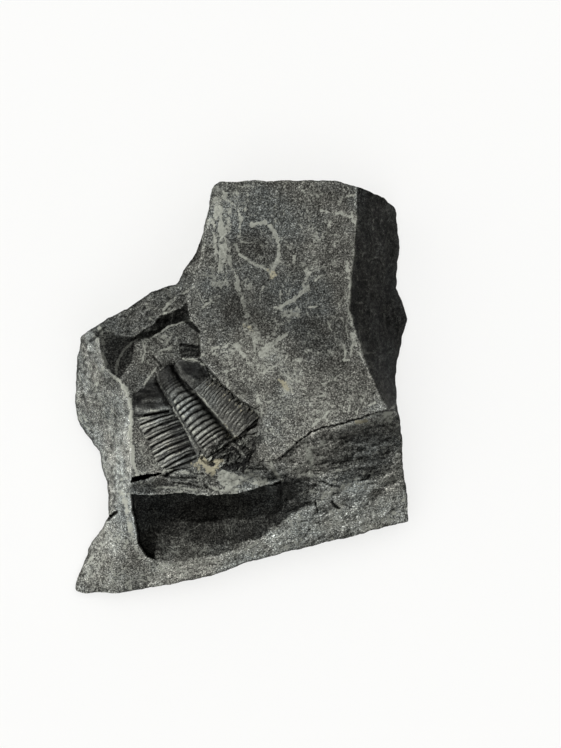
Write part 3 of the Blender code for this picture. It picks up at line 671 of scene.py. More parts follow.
toneBlots = [  # gain in lightness
    ([(215, 265), (345, 250), (352, 345), (300, 345), (262, 335), (225, 332)], 6.0, -0.22),
    ([(215, 350), (300, 345), (345, 380), (350, 400), (250, 400)], 4.0, -0.14),
    ([(124, 350), (140, 338), (182, 323), (196, 330), (202, 345), (172, 360), (140, 390), (126, 395)],
      1.5, -0.2),
    ([(107, 340), (130, 338), (126, 360), (114, 378)], 1.5, -0.3),
    ([(80, 400), (122, 400), (124, 440), (96, 440)], 3.0, -0.1),
    # painted shade at the right end of the hollow, carrying its shadow onto the break
    ([(274, 478), (284, 476), (298, 480), (306, 486), (305, 506), (296, 516), (274, 530)], 1.6, -0.66),
    ([(306, 446), (322, 436), (345, 430), (372, 423), (398, 416), (404, 440), (400, 462), (388, 472),
      (381, 480), (369, 482), (354, 483), (343, 485), (336, 480), (326, 470), (314, 462)], 0.8, -0.3),
    ([(336, 456), (388, 450), (392, 466), (381, 479), (343, 484)], 1.2, -0.3),
    ([(84, 337), (88, 329), (104, 330), (104, 345), (90, 348)], 1.5, -0.5),
    ([(78, 346), (108, 345), (125, 395), (126, 425), (82, 425)], 3.0, -0.42),
    ([(182, 345), (199, 346), (203, 358), (182, 357)], 0.3, -0.45),
    ([(262, 392), (300, 384), (340, 392), (388, 404), (372, 416), (320, 430), (290, 446), (266, 456),
      (262, 420)], 3.5, 0.36),
    ([(205, 345), (240, 340), (268, 345), (300, 360), (330, 372), (330, 392), (262, 396), (240, 382),
      (215, 362)], 4.0, 0.34),
    ([(210, 182), (262, 182), (250, 205), (232, 230), (214, 262), (206, 240)], 4.0, 0.2),
    ([(228, 236), (262, 230), (268, 262), (244, 268)], 3.5, -0.3),
    ([(212, 288), (236, 288), (258, 318), (236, 334), (210, 318)], 3.5, -0.25),
    ([(300, 312), (345, 322), (350, 352), (318, 356), (296, 340)], 4.0, -0.25),
    ([(290, 185), (350, 190), (350, 235), (300, 240)], 5.0, -0.12),
    ([(76, 330), (96, 326), (112, 372), (96, 380), (80, 366)], 3.0, 0.25),
    ([(88, 395), (124, 400), (126, 470), (112, 480), (98, 440)], 3.0, 0.12),
    # painted shade in the gap left of the ledge
    ([(130, 478), (170, 474), (196, 470), (196, 490), (130, 494)], 2.0, -0.45),
]
tonePatches = [  # how light it is
    # painted shade over the lit part of the hollow's floor
    ([(158, 525), (180, 522), (210, 521), (240, 522), (266, 519), (284, 504), (306, 500), (315, 505),
      (298, 512), (284, 521), (269, 532), (257, 543), (235, 544), (216, 546), (195, 547), (176, 539),
      (168, 543), (168, 556), (160, 563), (152, 548)], 0.6, 0.028),
    # painted shade at the right end of the hollow
    ([(282, 479), (296, 478), (309, 480), (310, 492), (308, 502), (296, 508), (284, 508)], 0.5, 0.05),
    # painted shade in the gap left of the ledge
    ([(130, 483), (148, 483), (160, 486), (166, 494), (131, 496)], 0.7, 0.075),
    ([(311, 481), (330, 484), (342, 486), (334, 491), (320, 499), (312, 501)], 0.6, 0.15),
]
scratchValues = {"count": 90, "low": (205, 185), "high": (385, 420), "length": (6, 26), "width": 0.36,
                 "strength": (0.2, 0.5), "seed": 12}
cuts = [  # half width and depth
    ([(393, 410), (376, 413), (368, 415.5), (354, 420), (340, 424), (323, 427.5), (312, 431.5), (304, 437),
      (297, 443)], 0.3, 1.2),
    ([(297, 443), (289, 450), (283, 456), (277, 459), (269, 461), (260, 462)], 0.3, 0.6),
    ([(315, 502), (316, 507), (318, 513)], 0.35, 0.7),
    ([(153, 355), (156, 360), (161, 367)], 0.45, 0.7),
    ([(106, 521), (110, 518), (114, 515)], 0.45, 2.0),
    ([(164, 476), (175, 470), (190, 466), (197, 461)], 0.45, 1.0),
    ([(203, 480), (206, 486), (212, 491)], 0.4, 0.5),
    ([(182, 345), (190, 346), (199, 347)], 0.5, 0.7),
    ([(182, 346), (182, 357)], 0.4, 0.4),
    ([(160, 475), (178, 479), (196, 477)], 0.35, 0.6),
    ([(172, 483), (190, 485), (206, 488)], 0.35, 0.6),
    ([(186, 470), (196, 474), (204, 475)], 0.3, 0.5),
    ([(236, 462), (246, 468), (262, 470)], 0.35, 0.6),
    ([(183, 351), (192, 350), (202, 352)], 0.4, 0.4),
    ([(332, 503), (336, 507), (340, 510)], 0.5, 1.0),
    ([(322, 482), (332, 486), (341, 488)], 0.4, 0.5),
    ([(88, 341), (96, 336), (104, 328)], 0.5, 0.6),
]


def scratches():
    # short fine scratches in all directions on the upper face
    values = scratchValues
    chance = np.random.default_rng(values["seed"])
    lines = []
    for _ in range(values["count"]):
        start = chance.uniform(values["low"], values["high"])
        turn = chance.uniform(0, math.pi)
        reach = chance.uniform(*values["length"])
        end = start + reach * np.array([math.cos(turn), math.sin(turn)])
        bow = start * 0.5 + end * 0.5 + chance.uniform(-1, 1, 2) * reach * 0.12
        lines.append(([start, bow, end], values["width"], chance.uniform(*values["strength"])))
    return lines


def markRock(points, height, tone):
    # cuts and coloured marks that the photograph shows on the top of the rock
    nothing = np.zeros(len(points))
    patchy = np.clip(1.25 + 1.3 * cloud(points, 4, 72, 3), 0.45, 1.7)
    pale = withLines(points, nothing, paleLines + scratches(), planeLevel, 0.7, patchy * 1.2)
    pale = withBlots(points, pale, paleBlots, planeLevel)
    tan = withBlots(points, nothing, tanBlots, bayLevel)
    dark = withBlots(points, nothing, darkBlots, bayLevel)
    height, dark = withCuts(points, height, dark, cuts, planeLevel, 0.6)
    height = height + pale * 0.06
    tone = tone * (1 + 0.14 * cloud(points, 16, 71, 3))
    grit = cloud(points, 2.5, 74, 4, (2, 1), 0.3)
    for loop, feather, gain in toneBlots:
        tone = tone * (1 + gain * blot(points, fromPhoto(loop), feather))
    for loop, feather, level in tonePatches:
        tone = tone + (level * (1 + 0.4 * grit) - tone) * blot(points, fromPhoto(loop), feather)
    return height, tone, np.column_stack([pale, tan, dark])


# The shell of the trilobite. Its margin is in millimetres, its guide lines in photograph pixels from the
# tail to the head
shell = {"pitch": 0.18, "lift": 0.12, "bedTop": 41.3, "under": 38.35, "edgeDip": 0.16, "edgeWidth": 0.7,
         "rubAndShadeDepth": 0.09, "edgeAngle": 65, "rows": 320, "batch": 8000, "patchTone": 0.1}
margin = [(-26.9, 8), (-21.9, 11.6), (-12.5, 9.6), (-10.5, 4.6), (-6.3, 2.2), (0.1, -3.7), (7.1, -8.4),
          (7.3, -13), (6.7, -18), (6.5, -24), (1.1, -29.4), (-10.9, -27.9), (-16.9, -27.4),
          (-26.9, -28.4), (-29.9, -26), (-32.6, -20), (-35.6, -13.5), (-37.6, -9), (-37.9, -2),
          (-35.4, 0.3), (-31.5, 4.6)]
axisLeft = [(161, 368), (158, 376), (161, 385), (166, 392), (174, 406), (180, 417), (187.5, 430),
            (195, 441), (200, 449), (206, 458)]
axisRight = [(172, 360), (174, 366.5), (178, 374), (184, 381), (196, 392), (203, 401.5), (212, 413.5),
             (221, 423.5), (228, 431), (235, 439)]
leftRibsOuter = [(136, 419), (140, 428), (144, 437), (149, 445), (152, 453), (156, 462), (160, 472)]
leftRibsInner = [(173.5, 411), (177.5, 417), (182, 424), (186, 432), (189.5, 440), (193, 448), (198, 457)]
rightRibsOuter = [(209, 377), (216, 381), (224, 386), (232, 393), (240, 401), (250, 408), (262, 414)]
rightRibsInner = [(190, 393), (197, 397), (204, 404), (211, 412), (218, 420), (226, 429), (236, 438)]
leftField = [(152, 377), (156, 378), (163, 393), (168, 402), (173, 411), (150, 416), (136, 418), (132, 405),
             (131, 394), (136, 391), (140, 389), (144, 388), (146, 383)]
rightField = [(174, 366), (179, 360), (190, 360), (204, 363), (208, 371), (209, 378), (200, 387),
              (191, 392), (183, 380)]
headField = [(200, 450), (206, 456), (222, 446), (234, 437), (246, 436), (262, 430), (263, 440), (262, 462),
             (244, 472), (224, 470), (208, 462), (198, 458)]
fieldBand = [(144, 401), (152, 400), (160, 401)]
fieldSill = [(134, 410), (146, 411.5), (158, 411), (170, 408.5)]
rightGloom = [(177, 361), (188, 360), (200, 362), (208, 370), (208, 377), (200, 380), (190, 377),
              (182, 371)]
smoothPatch = [(194, 444), (200, 445), (207, 450), (210, 456), (204, 458), (198, 454)]
shellCuts = [
    ([(145, 415.5), (156, 414), (168, 411.5)], 0.55, 1.1),
    ([(248, 430), (255, 426), (263, 421)], 0.5, 1.0),
    ([(246, 437), (254, 438), (262, 434)], 1.1, 1.3),
    ([(172.5, 363), (175.5, 371.5), (181.5, 381.5), (190.5, 391.5), (199.5, 400), (209.5, 412),
      (219.5, 423.5), (231.5, 436)], 1.0, 1.0),
    ([(202, 459), (206, 463), (213, 465)], 0.5, 0.8),
    ([(156, 377), (160, 387), (165, 395), (172, 407)], 0.5, 0.5),
    ([(230, 443), (236, 446), (244, 456)], 0.7, 0.8),
    ([(240, 440), (250, 447), (256, 458)], 0.8, 0.7),
]
# pale lines on the shell, several of them painted highlights along the lit edges of the furrows and lobes
shellPaleAndHighlights = [
    ([(174, 367), (178, 373), (183, 381), (189, 390)], 0.35, 0.7),
    ([(135, 418), (142, 418), (149, 418)], 0.4, 0.8),
    ([(151, 411), (156, 411)], 0.5, 0.6),
    ([(192, 391), (199, 396), (206, 404), (215, 415), (224, 426), (234, 436)], 0.5, 0.8),
    ([(157, 380), (163, 392), (170, 403), (176, 413), (183, 425), (190, 438), (196, 447)], 0.5, 0.5),
    ([(131, 418), (136, 426), (141, 434), (147, 446), (152, 456), (157, 466)], 0.45, 0.5),
    ([(186, 360), (195, 361), (204, 365)], 0.4, 0.6),
    ([(206, 432), (216, 438), (222, 446)], 0.7, 0.45),
    ([(212, 452), (222, 448), (228, 452)], 0.7, 0.4),
]


# profiles along the axis or across a strip, as places from 0 to 1 and the values there
leftArch = ([0, 0.1, 0.35, 0.75, 0.96, 1.0], [-0.1, 0.7, 1.25, 0.8, 0.05, -0.35])
rightArch = ([0, 0.08, 0.3, 0.8, 1.0], [0.1, 0.8, 1.35, 1.2, 0.5])
axisRings = ([0, 0.2, 0.36, 0.9, 1.0], [0, 1.6, 6, 17, 18.5])
axisStrength = ([0, 0.2, 0.33, 0.42, 0.84, 0.95], [0.02, 0.1, 0.4, 1.0, 1.0, 0.2])
axisSwell = ([0, 0.06, 0.2, 0.4, 0.8, 0.92, 1.0], [0.0, 0.6, 1.5, 2.7, 3.1, 1.9, 0.3])
axisTone = ([0, 0.28, 0.42, 0.82, 1.0], [0.012, 0.018, 0.10, 0.115, 0.045])
leftRibs = {"lean": -0.08, "coarse": 7, "fine": 14, "least": 0.012, "tone": 0.21, "gloss": 0.8}
rightRibs = {"lean": 0.07, "count": 18, "tone": 0.07, "gloss": 0.4}
axisLean = -0.005


def profileAt(share, profile):
    return np.interp(share, *profile)


def stripShares(points, innerLine, outerLine, level, lean):
    # share along and share across a strip for each point, and whether the point is on the strip
    rows = shell["rows"]
    shares = np.linspace(0, 1, rows)
    inner, outer = fromPhoto(innerLine, level), fromPhoto(outerLine, level)
    spots = np.linspace(0, 1, len(inner))
    first = np.column_stack([np.interp(shares, spots, inner[:, axis]) for axis in (0, 1)])
    last = np.column_stack([np.interp(shares, spots, outer[:, axis]) for axis in (0, 1)])
    across = last - first
    length = np.linalg.norm(across, axis=1)
    place, share = np.zeros(len(points)), np.full(len(points), -9.0)
    near = insideLoop(points, np.vstack([first, last[::-1]]))
    spots = np.flatnonzero(near)
    for begin in range(0, len(spots), shell["batch"]):
        block = spots[begin:begin + shell["batch"]]
        offset = points[block][:, None, :] - first[None]
        side = (across[:, 0] * offset[..., 1] - across[:, 1] * offset[..., 0]) / length
        picked = np.abs(side).argmin(axis=1)
        index = np.arange(len(block))
        here = side[index, picked]
        above, below = np.clip(picked + 1, 0, rows - 1), np.clip(picked - 1, 0, rows - 1)
        other = np.where(np.sign(side[index, above]) != np.sign(here), above, below)
        there = side[index, other]
        part = np.where(np.abs(here - there) > 1e-9, here / (here - there + 1e-12), 0)
        row = picked + (other - picked) * np.clip(part, 0, 1)
        place[block] = row / (rows - 1)
        reach = (offset[index, picked] * across[picked]).sum(axis=1)
        share[block] = np.clip(reach / length[picked] ** 2, 0, 1)
    return place + lean * (share - 0.5), np.maximum(share, 0), near


def ribbing(phase, seed, sharp):
    # rounded ribs with narrow grooves between them; each rib has its own height
    number = np.floor(phase).astype(int)
    heights = np.random.default_rng(seed).uniform(0.72, 1.12, 64)
    return np.sin(math.pi * (phase - number)) ** sharp * heights[number % 64]


def lay(skin, held, **values):
    # writes a part's values onto its points
    for key, value in values.items():
        skin[key][held] = value[held] if isinstance(value, np.ndarray) else value


def layFields(skin, points, jitter):
    # the sunken smooth fields on both sides of the tail
    across = cloud(points, 4, 82, 4, (3, 1), -0.1)
    held, distance = loopField(points, fromPhoto(leftField, bayLevel))
    # the band and the sill are low ridges whose lighter tone is partly a painted highlight
    band = stroke(points, fromPhoto(fieldBand, bayLevel), 1.2, 0.35)
    sill = stroke(points, fromPhoto(fieldSill, bayLevel), 1.6, 0.35)
    lay(skin, held, gloss=0.5, tone=np.clip(0.018 + 0.035 * across + 0.055 * band + 0.1 * sill, 0.003, 0.2),
        rise=0.1 + 0.9 * smooth(distance, 0, 1.6) + across * 0.3 + 0.35 * band + 0.5 * sill)
    held, distance = loopField(points, fromPhoto(rightField, bayLevel))
    gloom = blot(points, fromPhoto(rightGloom, bayLevel), 0.7)
    lay(skin, held, gloss=0.6, tone=0.07 - 0.056 * gloom + 0.014 * across + 0.01 * jitter,
        rise=0.7 + 1.0 * smooth(distance, 0, 3.5) + jitter * 0.2)


def layLeftRibs(skin, points, jitter):
    # coarse ribs, each with a furrow, that fan out and fade into the rock
    place, share, held = stripShares(points, leftRibsInner, leftRibsOuter, bayLevel, leftRibs["lean"])
    streaks = cloud(np.column_stack([share * 9, place * 46]), 3.0, 87, 4)
    bend = place + 0.025 * np.sin(math.pi * share) + jitter * 0.008 + streaks * 0.012
    coarse = ribbing(bend * leftRibs["coarse"] + 0.3, 1, 0.75)
    fine = ribbing(bend * leftRibs["fine"] + 0.2 + 0.5 * share, 2, 0.8)
    cover = smooth(share, 0.0, 0.15) * (1 - 0.6 * smooth(share, 0.85, 1.0))
    outerHalf = smooth(share, 0.25, 0.75)
    groove = (0.95 * coarse + 0.6 * fine - 1.05) * (0.3 + 0.7 * cover) * (0.9 + 0.9 * streaks)
    # crests and the outer half are lighter as painted highlights; the grooves and the inner half are darker
    # as painted shade
    crest = leftRibs["tone"] * coarse * (0.35 + 0.65 * fine) * (1 + 0.9 * streaks)
    lay(skin, held, gloss=leftRibs["gloss"], rise=profileAt(share, leftArch) + groove,
        tone=(leftRibs["least"] + crest) * (0.45 + 0.75 * outerHalf),
        dark=0.95 * (1 - np.clip(coarse * 1.2, 0, 1)) + 0.4 * (1 - np.clip(fine * 1.2, 0, 1)),
        pale=1.3 * np.clip(fine * coarse - 0.25, 0, 1) * outerHalf * np.clip(0.35 + 1.8 * streaks, 0, 1))


def layRightRibs(skin, points, jitter):
    # fine even ribs with a broken outer edge
    place, share, held = stripShares(points, rightRibsInner, rightRibsOuter, bayLevel, rightRibs["lean"])
    streaks = cloud(np.column_stack([share * 8, place * 50]), 2.2, 88, 4)
    bend = place + 0.015 * np.sin(math.pi * share) + jitter * 0.01 + streaks * 0.01
    ribs = ribbing(bend * rightRibs["count"], 3, 0.8)
    cover = smooth(share, 0.1, 0.4) * smooth(place, 0.02, 0.14)
    outerHalf = smooth(share, 0.45, 0.8)
    notch = smooth(share, 0.8, 0.97) * smooth(streaks, -0.1, 0.2)
    relief = (0.3 * ribs - 0.18) * (0.2 + 0.8 * cover) * (1 + 1.6 * streaks)
    # the grooves and the notches of the broken outer edge are darkened with painted shade
    lay(skin, held, gloss=rightRibs["gloss"], rise=profileAt(share, rightArch) + relief - 0.8 * notch,
        tone=(rightRibs["tone"] + 0.035 * ribs + 0.05 * streaks) * (1 - 0.4 * outerHalf),
        dark=0.4 * (1 - np.clip(ribs * 1.25, 0, 1)) * cover + 0.8 * notch,
        tan=0.34 * outerHalf * np.clip(ribs, 0, 1))


def layHead(skin, points, rubble):
    # the broken head end: rubble with bright shards
    held, distance = loopField(points, fromPhoto(headField, bayLevel))
    shards = smooth(cloud(points, 2.4, 89, 3, (2.2, 1), 0.6), 0.26, 0.5)
    lay(skin, held, gloss=0.5, rise=rubble - 0.3 - 0.4 * smooth(distance, 0, 2) + 0.3 * shards,
        tone=np.clip(0.005 + 0.04 * rubble + 0.09 * shards, 0.003, 0.2), pale=0.55 * shards)


def layAxis(skin, points, jitter, rubble):
    # the arched axis: smooth at the tail, ringed in the middle and broken at the head
    place, share, held = stripShares(points, axisLeft, axisRight, bayLevel + 1, axisLean)
    bend = place + 0.015 * np.sin(math.pi * share) + jitter * 0.006
    strength = profileAt(place, axisStrength)
    ring = ribbing(profileAt(bend, axisRings), 4, 0.85)
    arch = np.sin(math.pi * share ** 0.88) ** 0.85
    knob = np.exp(-((share - 0.12) / 0.07) ** 2) * ring * strength
    body = 0.1 + profileAt(place, axisSwell) * arch
    body += (1.15 * ring - 0.8) * strength * smooth(arch, 0.1, 0.5) * (0.85 + 0.3 * jitter)
    broken = smooth(place, 0.84, 0.98)
    mottle = 1 + 0.5 * cloud(points, 1.6, 86, 3) + 0.8 * broken * rubble
    # the left side of the axis is lighter as a painted highlight and the right side darker as painted shade
    side = (1 - 0.55 * smooth(share, 0.5, 0.95)) * (1 + 0.35 * np.exp(-((share - 0.2) / 0.15) ** 2))
    # painted shade in the grooves between the rings and down the right flank, painted highlights on the
    # knobs at the ring ends
    lay(skin, held, gloss=1, rise=np.maximum(skin["rise"], body + 0.4 * knob + 0.9 * broken * rubble),
        tone=profileAt(place, axisTone) * side * mottle * (1 - strength + strength * (0.3 + 0.85 * ring)),
        dark=0.9 * (1 - np.clip(ring * 1.5, 0, 1)) * strength + 0.5 * smooth(share, 0.72, 0.95),
        pale=1.1 * knob * np.clip(0.6 + 1.2 * jitter, 0, 1))


def shellSurface(points):
    # rise of the shell above its bed, and its looks
    skin = {key: np.zeros(len(points)) for key in ("rise", "tone", "gloss", "pale", "tan", "dark")}
    skin["tone"] += faceLooks["bay"]["tone"]
    jitter = cloud(points, 4, 81, 3)
    rubble = cloud(points, 3.0, 84, 5, (1.6, 1), 0.7, 0.7)
    layFields(skin, points, jitter)
    layLeftRibs(skin, points, jitter)
    layRightRibs(skin, points, jitter)
    layHead(skin, points, rubble)
    layAxis(skin, points, jitter, rubble)
    rise, tone, gloss, pale, tan, dark = skin.values()
    patch = blot(points, fromPhoto(smoothPatch, bayLevel), 0.4)
    tone, dark = tone + (shell["patchTone"] - tone) * patch, dark * (1 - patch)
    pale = withLines(points, pale, shellPaleAndHighlights, bayLevel, 0.6)
    rise, dark = withCuts(points, rise, dark, shellCuts, bayLevel, 0.8)
    rise += cloud(points, 1.3, 85, 3) * 0.06 * (0.4 + gloss)
    tan = withBlots(points, tan, tanBlots, bayLevel)
    dark = withBlots(points, dark, darkBlots, bayLevel)
    return rise, tone, gloss, np.column_stack([pale, tan, np.clip(dark, 0, 1)])


def makeShell(material):
    print("shell: grid")
    rim = np.array(margin, dtype=float)
    bm, points, _, places, _ = trimmedGrid(rim, shell["pitch"])
    print("shell: surface")
    rockPoints = points + np.array(rock["middle"])
    rockPoints = rockPoints + warpOf(rockPoints)
    ground, face, inset = rockFaces(rockPoints)
    ground += rockRelief(rockPoints, face, inset)
    rise, tone, gloss, marks = shellSurface(points)
    height = np.minimum(ground, shell["bedTop"]) + shell["lift"] + rise
    height -= shell["edgeDip"] * (1 - smooth(distanceTo(points, rim, closed=True), 0, shell["edgeWidth"]))
    # crests rubbed paler and painted shade in hollows
    tone = rubbedAndShaded(places, height, tone, 1, shell["rubAndShadeDepth"])
    for vert, place, level in zip(bm.verts, points, height):
        vert.co = (*place, level)
    storeLayer(bm, "looks", np.column_stack([tone, 0.2 + 0.2 * (1 - gloss), gloss]))
    storeLayer(bm, "marks", marks)
    made = bmesh.ops.extrude_edge_only(bm, edges=[edge for edge in bm.edges if edge.is_boundary])["geom"]
    for part in made:
        if isinstance(part, bmesh.types.BMVert):
            part.co.z = shell["under"]
    bmesh.ops.edgeloop_fill(bm, edges=[edge for edge in bm.edges if edge.is_boundary])
    return makeStone("trilobite_shell", bm, material, shell["edgeAngle"])


# Materials

def newGroup(name, inputs, outputs):
    group = bpy.data.node_groups.new(name, "ShaderNodeTree")
    for label, kind, value in inputs:
        socket = group.interface.new_socket(name=label, in_out="INPUT", socket_type=kind)
        if value is not None:
            socket.default_value = value
    for label, kind in outputs:
        group.interface.new_socket(name=label, in_out="OUTPUT", socket_type=kind)
    return group, group.nodes.new("NodeGroupInput"), group.nodes.new("NodeGroupOutput")


def addNode(tree, kind, inputs=None, **settings):
    node = tree.nodes.new(kind)
    for key, value in settings.items():
        setattr(node, key, value)
    for key, value in (inputs or {}).items():
        if isinstance(value, bpy.types.NodeSocket):
            tree.links.new(value, node.inputs[key])
        else:
            node.inputs[key].default_value = value
    return node


def calc(tree, operation, first, second=0.0, clamp=False):
    node = addNode(tree, "ShaderNodeMath", {0: first, 1: second}, operation=operation, use_clamp=clamp)
    return node.outputs[0]


def times(tree, first, second, clamp=False):
    return calc(tree, "MULTIPLY", first, second, clamp)


def most(tree, first, second):
    return calc(tree, "MAXIMUM", first, second)


def mixColour(tree, amount, first, second, blend="MIX"):
    return addNode(tree, "ShaderNodeMix", {0: amount, 6: first, 7: second}, data_type="RGBA",
                   blend_type=blend).outputs[2]


def noiseAt(tree, place, scale, detail=4.0, roughness=0.6, twist=0.0):
    return addNode(tree, "ShaderNodeTexNoise", {"Vector": place, "Scale": scale, "Detail": detail,
                                                "Roughness": roughness, "Distortion": twist}).outputs[0]


def ramp(tree, value, low, high, lowOut=0.0, highOut=1.0):
    return addNode(tree, "ShaderNodeMapRange", {"Value": value, "From Min": low, "From Max": high,
                                                "To Min": lowOut, "To Max": highOut}).outputs[0]


def grainGroup():
    # speckle and blotches about zero, pale flecks, hairline veins, gaps in the marks, height of the grain
    names = ("Speckle", "Blotches", "Flecks", "Veins", "Broken", "Height")
    tree, start, end = newGroup("stoneGrain", [
        ("Place", "NodeSocketVector", None), ("Speckle Size", "NodeSocketFloat", 1800.0),
        ("Blotch Size", "NodeSocketFloat", 90.0)], [(name, "NodeSocketFloat") for name in names])
    place = start.outputs["Place"]
    fine = noiseAt(tree, place, start.outputs["Speckle Size"], 3.0, 0.8)
    blotches = noiseAt(tree, place, start.outputs["Blotch Size"], 7.0, 0.7)
    middle = noiseAt(tree, place, 620.0, 6.0, 0.72)
    flecks = times(tree, ramp(tree, noiseAt(tree, place, 1500.0, 2.0), 0.58, 0.67),
                   ramp(tree, noiseAt(tree, place, 160.0, 3.0), 0.40, 0.58))
    veins = 0.0
    for scale, twist, width in ((38.0, 1.2, 0.010), (75.0, 0.9, 0.016)):
        off = calc(tree, "SUBTRACT", noiseAt(tree, place, scale, 4.0, 0.6, twist), 0.5)
        line = ramp(tree, calc(tree, "ABSOLUTE", off), 0.0, width, 1.0, 0.0)
        shown = ramp(tree, noiseAt(tree, place, scale * 2.3, 3.0), 0.5, 0.6)
        veins = most(tree, times(tree, line, shown), veins)
    height = calc(tree, "ADD", times(tree, fine, 0.5), times(tree, middle, 0.6))
    mixed = calc(tree, "ADD", fine, times(tree, middle, 0.2))
    speckle, blotches = ramp(tree, mixed, 0.42, 0.78, -1.0, 1.0), ramp(tree, blotches, 0.3, 0.7, -1.0, 1.0)
    broken = ramp(tree, noiseAt(tree, place, 1000.0, 5.0, 0.8), 0.34, 0.66)
    for name, value in zip(names, (speckle, blotches, flecks, veins, broken, height)):
        tree.links.new(value, end.inputs[name])
    return tree


def newFinish(name):
    finish = bpy.data.materials.new(name)
    finish.use_nodes = True
    return finish, finish.node_tree, finish.node_tree.nodes["Principled BSDF"]


def stoneMaterial(name, values, grain):
    finish, tree, shader = newFinish(name)
    place = addNode(tree, "ShaderNodeTexCoord").outputs["Object"]
    layers = []
    for layer in ("looks", "marks"):
        stored = addNode(tree, "ShaderNodeAttribute", attribute_name=layer).outputs["Color"]
        layers.append(addNode(tree, "ShaderNodeSeparateColor", {0: stored}).outputs)
    tone, rough, gloss = layers[0]
    pale, tan, dark = layers[1]
    group = addNode(tree, "ShaderNodeGroup", node_tree=grain)
    tree.links.new(place, group.inputs["Place"])
    group.inputs["Speckle Size"].default_value = values["speckleSize"]
    group.inputs["Blotch Size"].default_value = values["blotchSize"]
    speckle, blotches, flecks, veins, broken, height = group.outputs

    light = calc(tree, "ADD", times(tree, speckle, values["speckle"]),
                 times(tree, blotches, values["blotch"]))
    light = times(tree, tone, calc(tree, "POWER", values["contrast"], light))
    hue = ramp(tree, noiseAt(tree, place, values["hueSize"]), 0.42, 0.62)
    colour = mixColour(tree, 1.0, mixColour(tree, hue, values["warm"], values["cool"]), light, "MULTIPLY")

    # pale scuffs, veins and flecks lighten the colour, and so do the shell's painted highlights
    scuff = most(tree, times(tree, veins, values["veins"]), times(tree, flecks, values["flecks"]))
    cover = ramp(tree, calc(tree, "SUBTRACT", times(tree, pale, 1.25), broken), 0.0, 0.3)
    scuff = most(tree, scuff, times(tree, cover, values["scuff"]))
    hold = most(tree, times(tree, tone, 9.0), values["scuffLeast"])
    colour = mixColour(tree, times(tree, scuff, hold, True), colour, values["pale"])
    cover = ramp(tree, calc(tree, "SUBTRACT", times(tree, tan, 1.3), broken), 0.0, 0.35)
    colour = mixColour(tree, times(tree, cover, 0.85), colour, values["tan"])
    # the dark marks darken it toward the shade colour: dark stains, and painted shade in grooves, cuts and
    # gaps
    colour = mixColour(tree, dark, colour, mixColour(tree, 1.0, colour, values["shade"], "MULTIPLY"))
    tree.links.new(colour, shader.inputs["Base Color"])

    dull = times(tree, ramp(tree, speckle, -1.0, 1.0, *values["rough"]),
                 ramp(tree, gloss, 0.0, 1.0, 1.0, values["shellShine"]))
    tree.links.new(dull, shader.inputs["Roughness"])
    shader.inputs["Specular IOR Level"].default_value = values["specular"]
    bump = addNode(tree, "ShaderNodeBump", {
        "Strength": 1.0, "Distance": values["bumpHeight"],
        "Height": times(tree, height, calc(tree, "ADD", rough, values["bumpLeast"]))})
    tree.links.new(bump.outputs["Normal"], shader.inputs["Normal"])
    return finish


shaleValues = {
    "speckleSize": 1900.0, "blotchSize": 150.0, "hueSize": 38.0, "contrast": 3.4, "speckle": 1.55,
    "blotch": 0.28, "veins": 0.9, "flecks": 0.9, "scuff": 0.85, "scuffLeast": 0.16,
    "warm": (1.0, 0.99, 0.88, 1), "cool": (0.94, 1.0, 0.95, 1), "pale": (0.44, 0.45, 0.39, 1),
    "tan": (0.44, 0.41, 0.29, 1), "shade": (0.15, 0.15, 0.15, 1), "rough": (0.62, 0.82),
    "shellShine": 0.5, "specular": 0.05, "bumpHeight": 0.0009, "bumpLeast": 0.5,
}
shellValues = dict(shaleValues, speckle=0.7, blotch=0.2, veins=0.3, flecks=0.5, specular=0.12,
                   bumpLeast=0.3)
floorValues = {"colour": (0.86, 0.86, 0.85, 1), "roughness": 0.8, "half": 1.2}
lightValues = {"towards": (-0.85, 0.5), "elevation": 46.0, "key": 3.75, "keyAngle": 2.5, "floor": 3.0,
               "fill": 0.19}


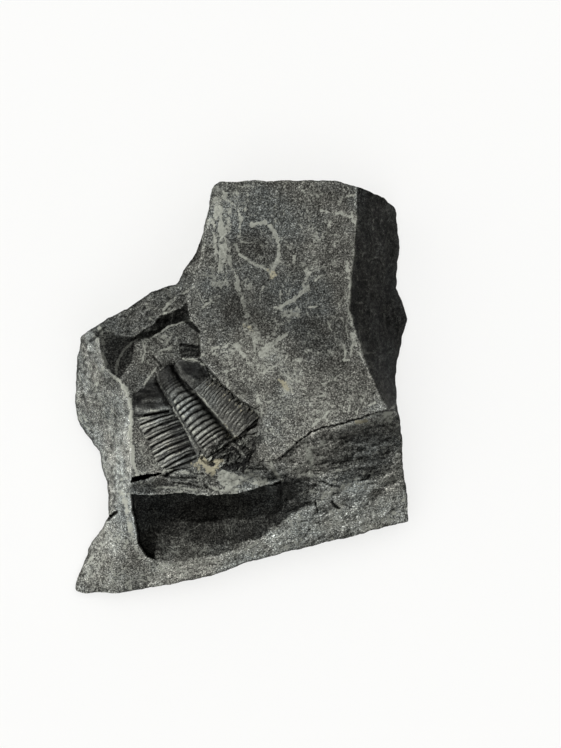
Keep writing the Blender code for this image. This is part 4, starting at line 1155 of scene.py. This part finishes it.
def makeFloor():
    finish, _, shader = newFinish("paleFloor")
    shader.inputs["Base Color"].default_value = floorValues["colour"]
    shader.inputs["Roughness"].default_value = floorValues["roughness"]
    bm = bmesh.new()
    bmesh.ops.create_grid(bm, x_segments=1, y_segments=1, size=floorValues["half"])
    floor = makeObject("floor", bm, finish)
    return floor


def makeCamera():
    data = bpy.data.cameras.new("camera")
    camera = placed("camera", data)
    camera.location = (photo["lookAt"][0] * mm, photo["lookAt"][1] * mm, photo["height"] * mm)
    data.sensor_width = 36.0
    data.lens = data.sensor_width * photo["height"] / (photo["longSide"] * photo["mmPerPixel"])
    data.clip_start = 0.01
    bpy.context.scene.camera = camera


def makeSun(name, strength, angle, towards, elevation):
    data = bpy.data.lights.new(name, "SUN")
    data.energy = strength
    data.angle = math.radians(angle)
    sun = placed(name, data)
    side = Vector(towards).normalized() * math.cos(math.radians(elevation))
    toward = Vector((side.x, side.y, math.sin(math.radians(elevation))))
    sun.rotation_euler = toward.to_track_quat("Z", "Y").to_euler()
    return sun


def makeLights(floor, pieces):
    # a low key light from the upper left on the stone, an even light on the floor, a weak fill all round
    values = lightValues
    key = makeSun("key", values["key"], values["keyAngle"], values["towards"], values["elevation"])
    even = makeSun("floorLight", values["floor"], 90.0, (0, 1), 80.0)
    even.data.use_shadow = False
    for sun, lit in ((key, pieces), (even, [floor])):
        group = bpy.data.collections.new(sun.name + "Receivers")
        for piece in lit:
            group.objects.link(piece)
        sun.light_linking.receiver_collection = group
    world = bpy.data.worlds.new("studio")
    world.use_nodes = True
    background = world.node_tree.nodes["Background"]
    background.inputs["Color"].default_value = (1, 1, 1, 1)
    background.inputs["Strength"].default_value = values["fill"]
    bpy.context.scene.world = world


makeCamera()
floorPiece = makeFloor()
bpy.context.scene.view_settings.view_transform = "Standard"
grain = grainGroup()
rockPiece = makeRock(stoneMaterial("shaleStone", shaleValues, grain))
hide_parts("shale_matrix")
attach(rockPiece, "root")
shellPiece = makeShell(stoneMaterial("shellStone", shellValues, grain))
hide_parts("trilobite")
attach(shellPiece, "root")
makeLights(floorPiece, [rockPiece, shellPiece])
for piece in (rockPiece, shellPiece):
    print(piece.name, sum(len(face.vertices) - 2 for face in piece.data.polygons), "triangles")
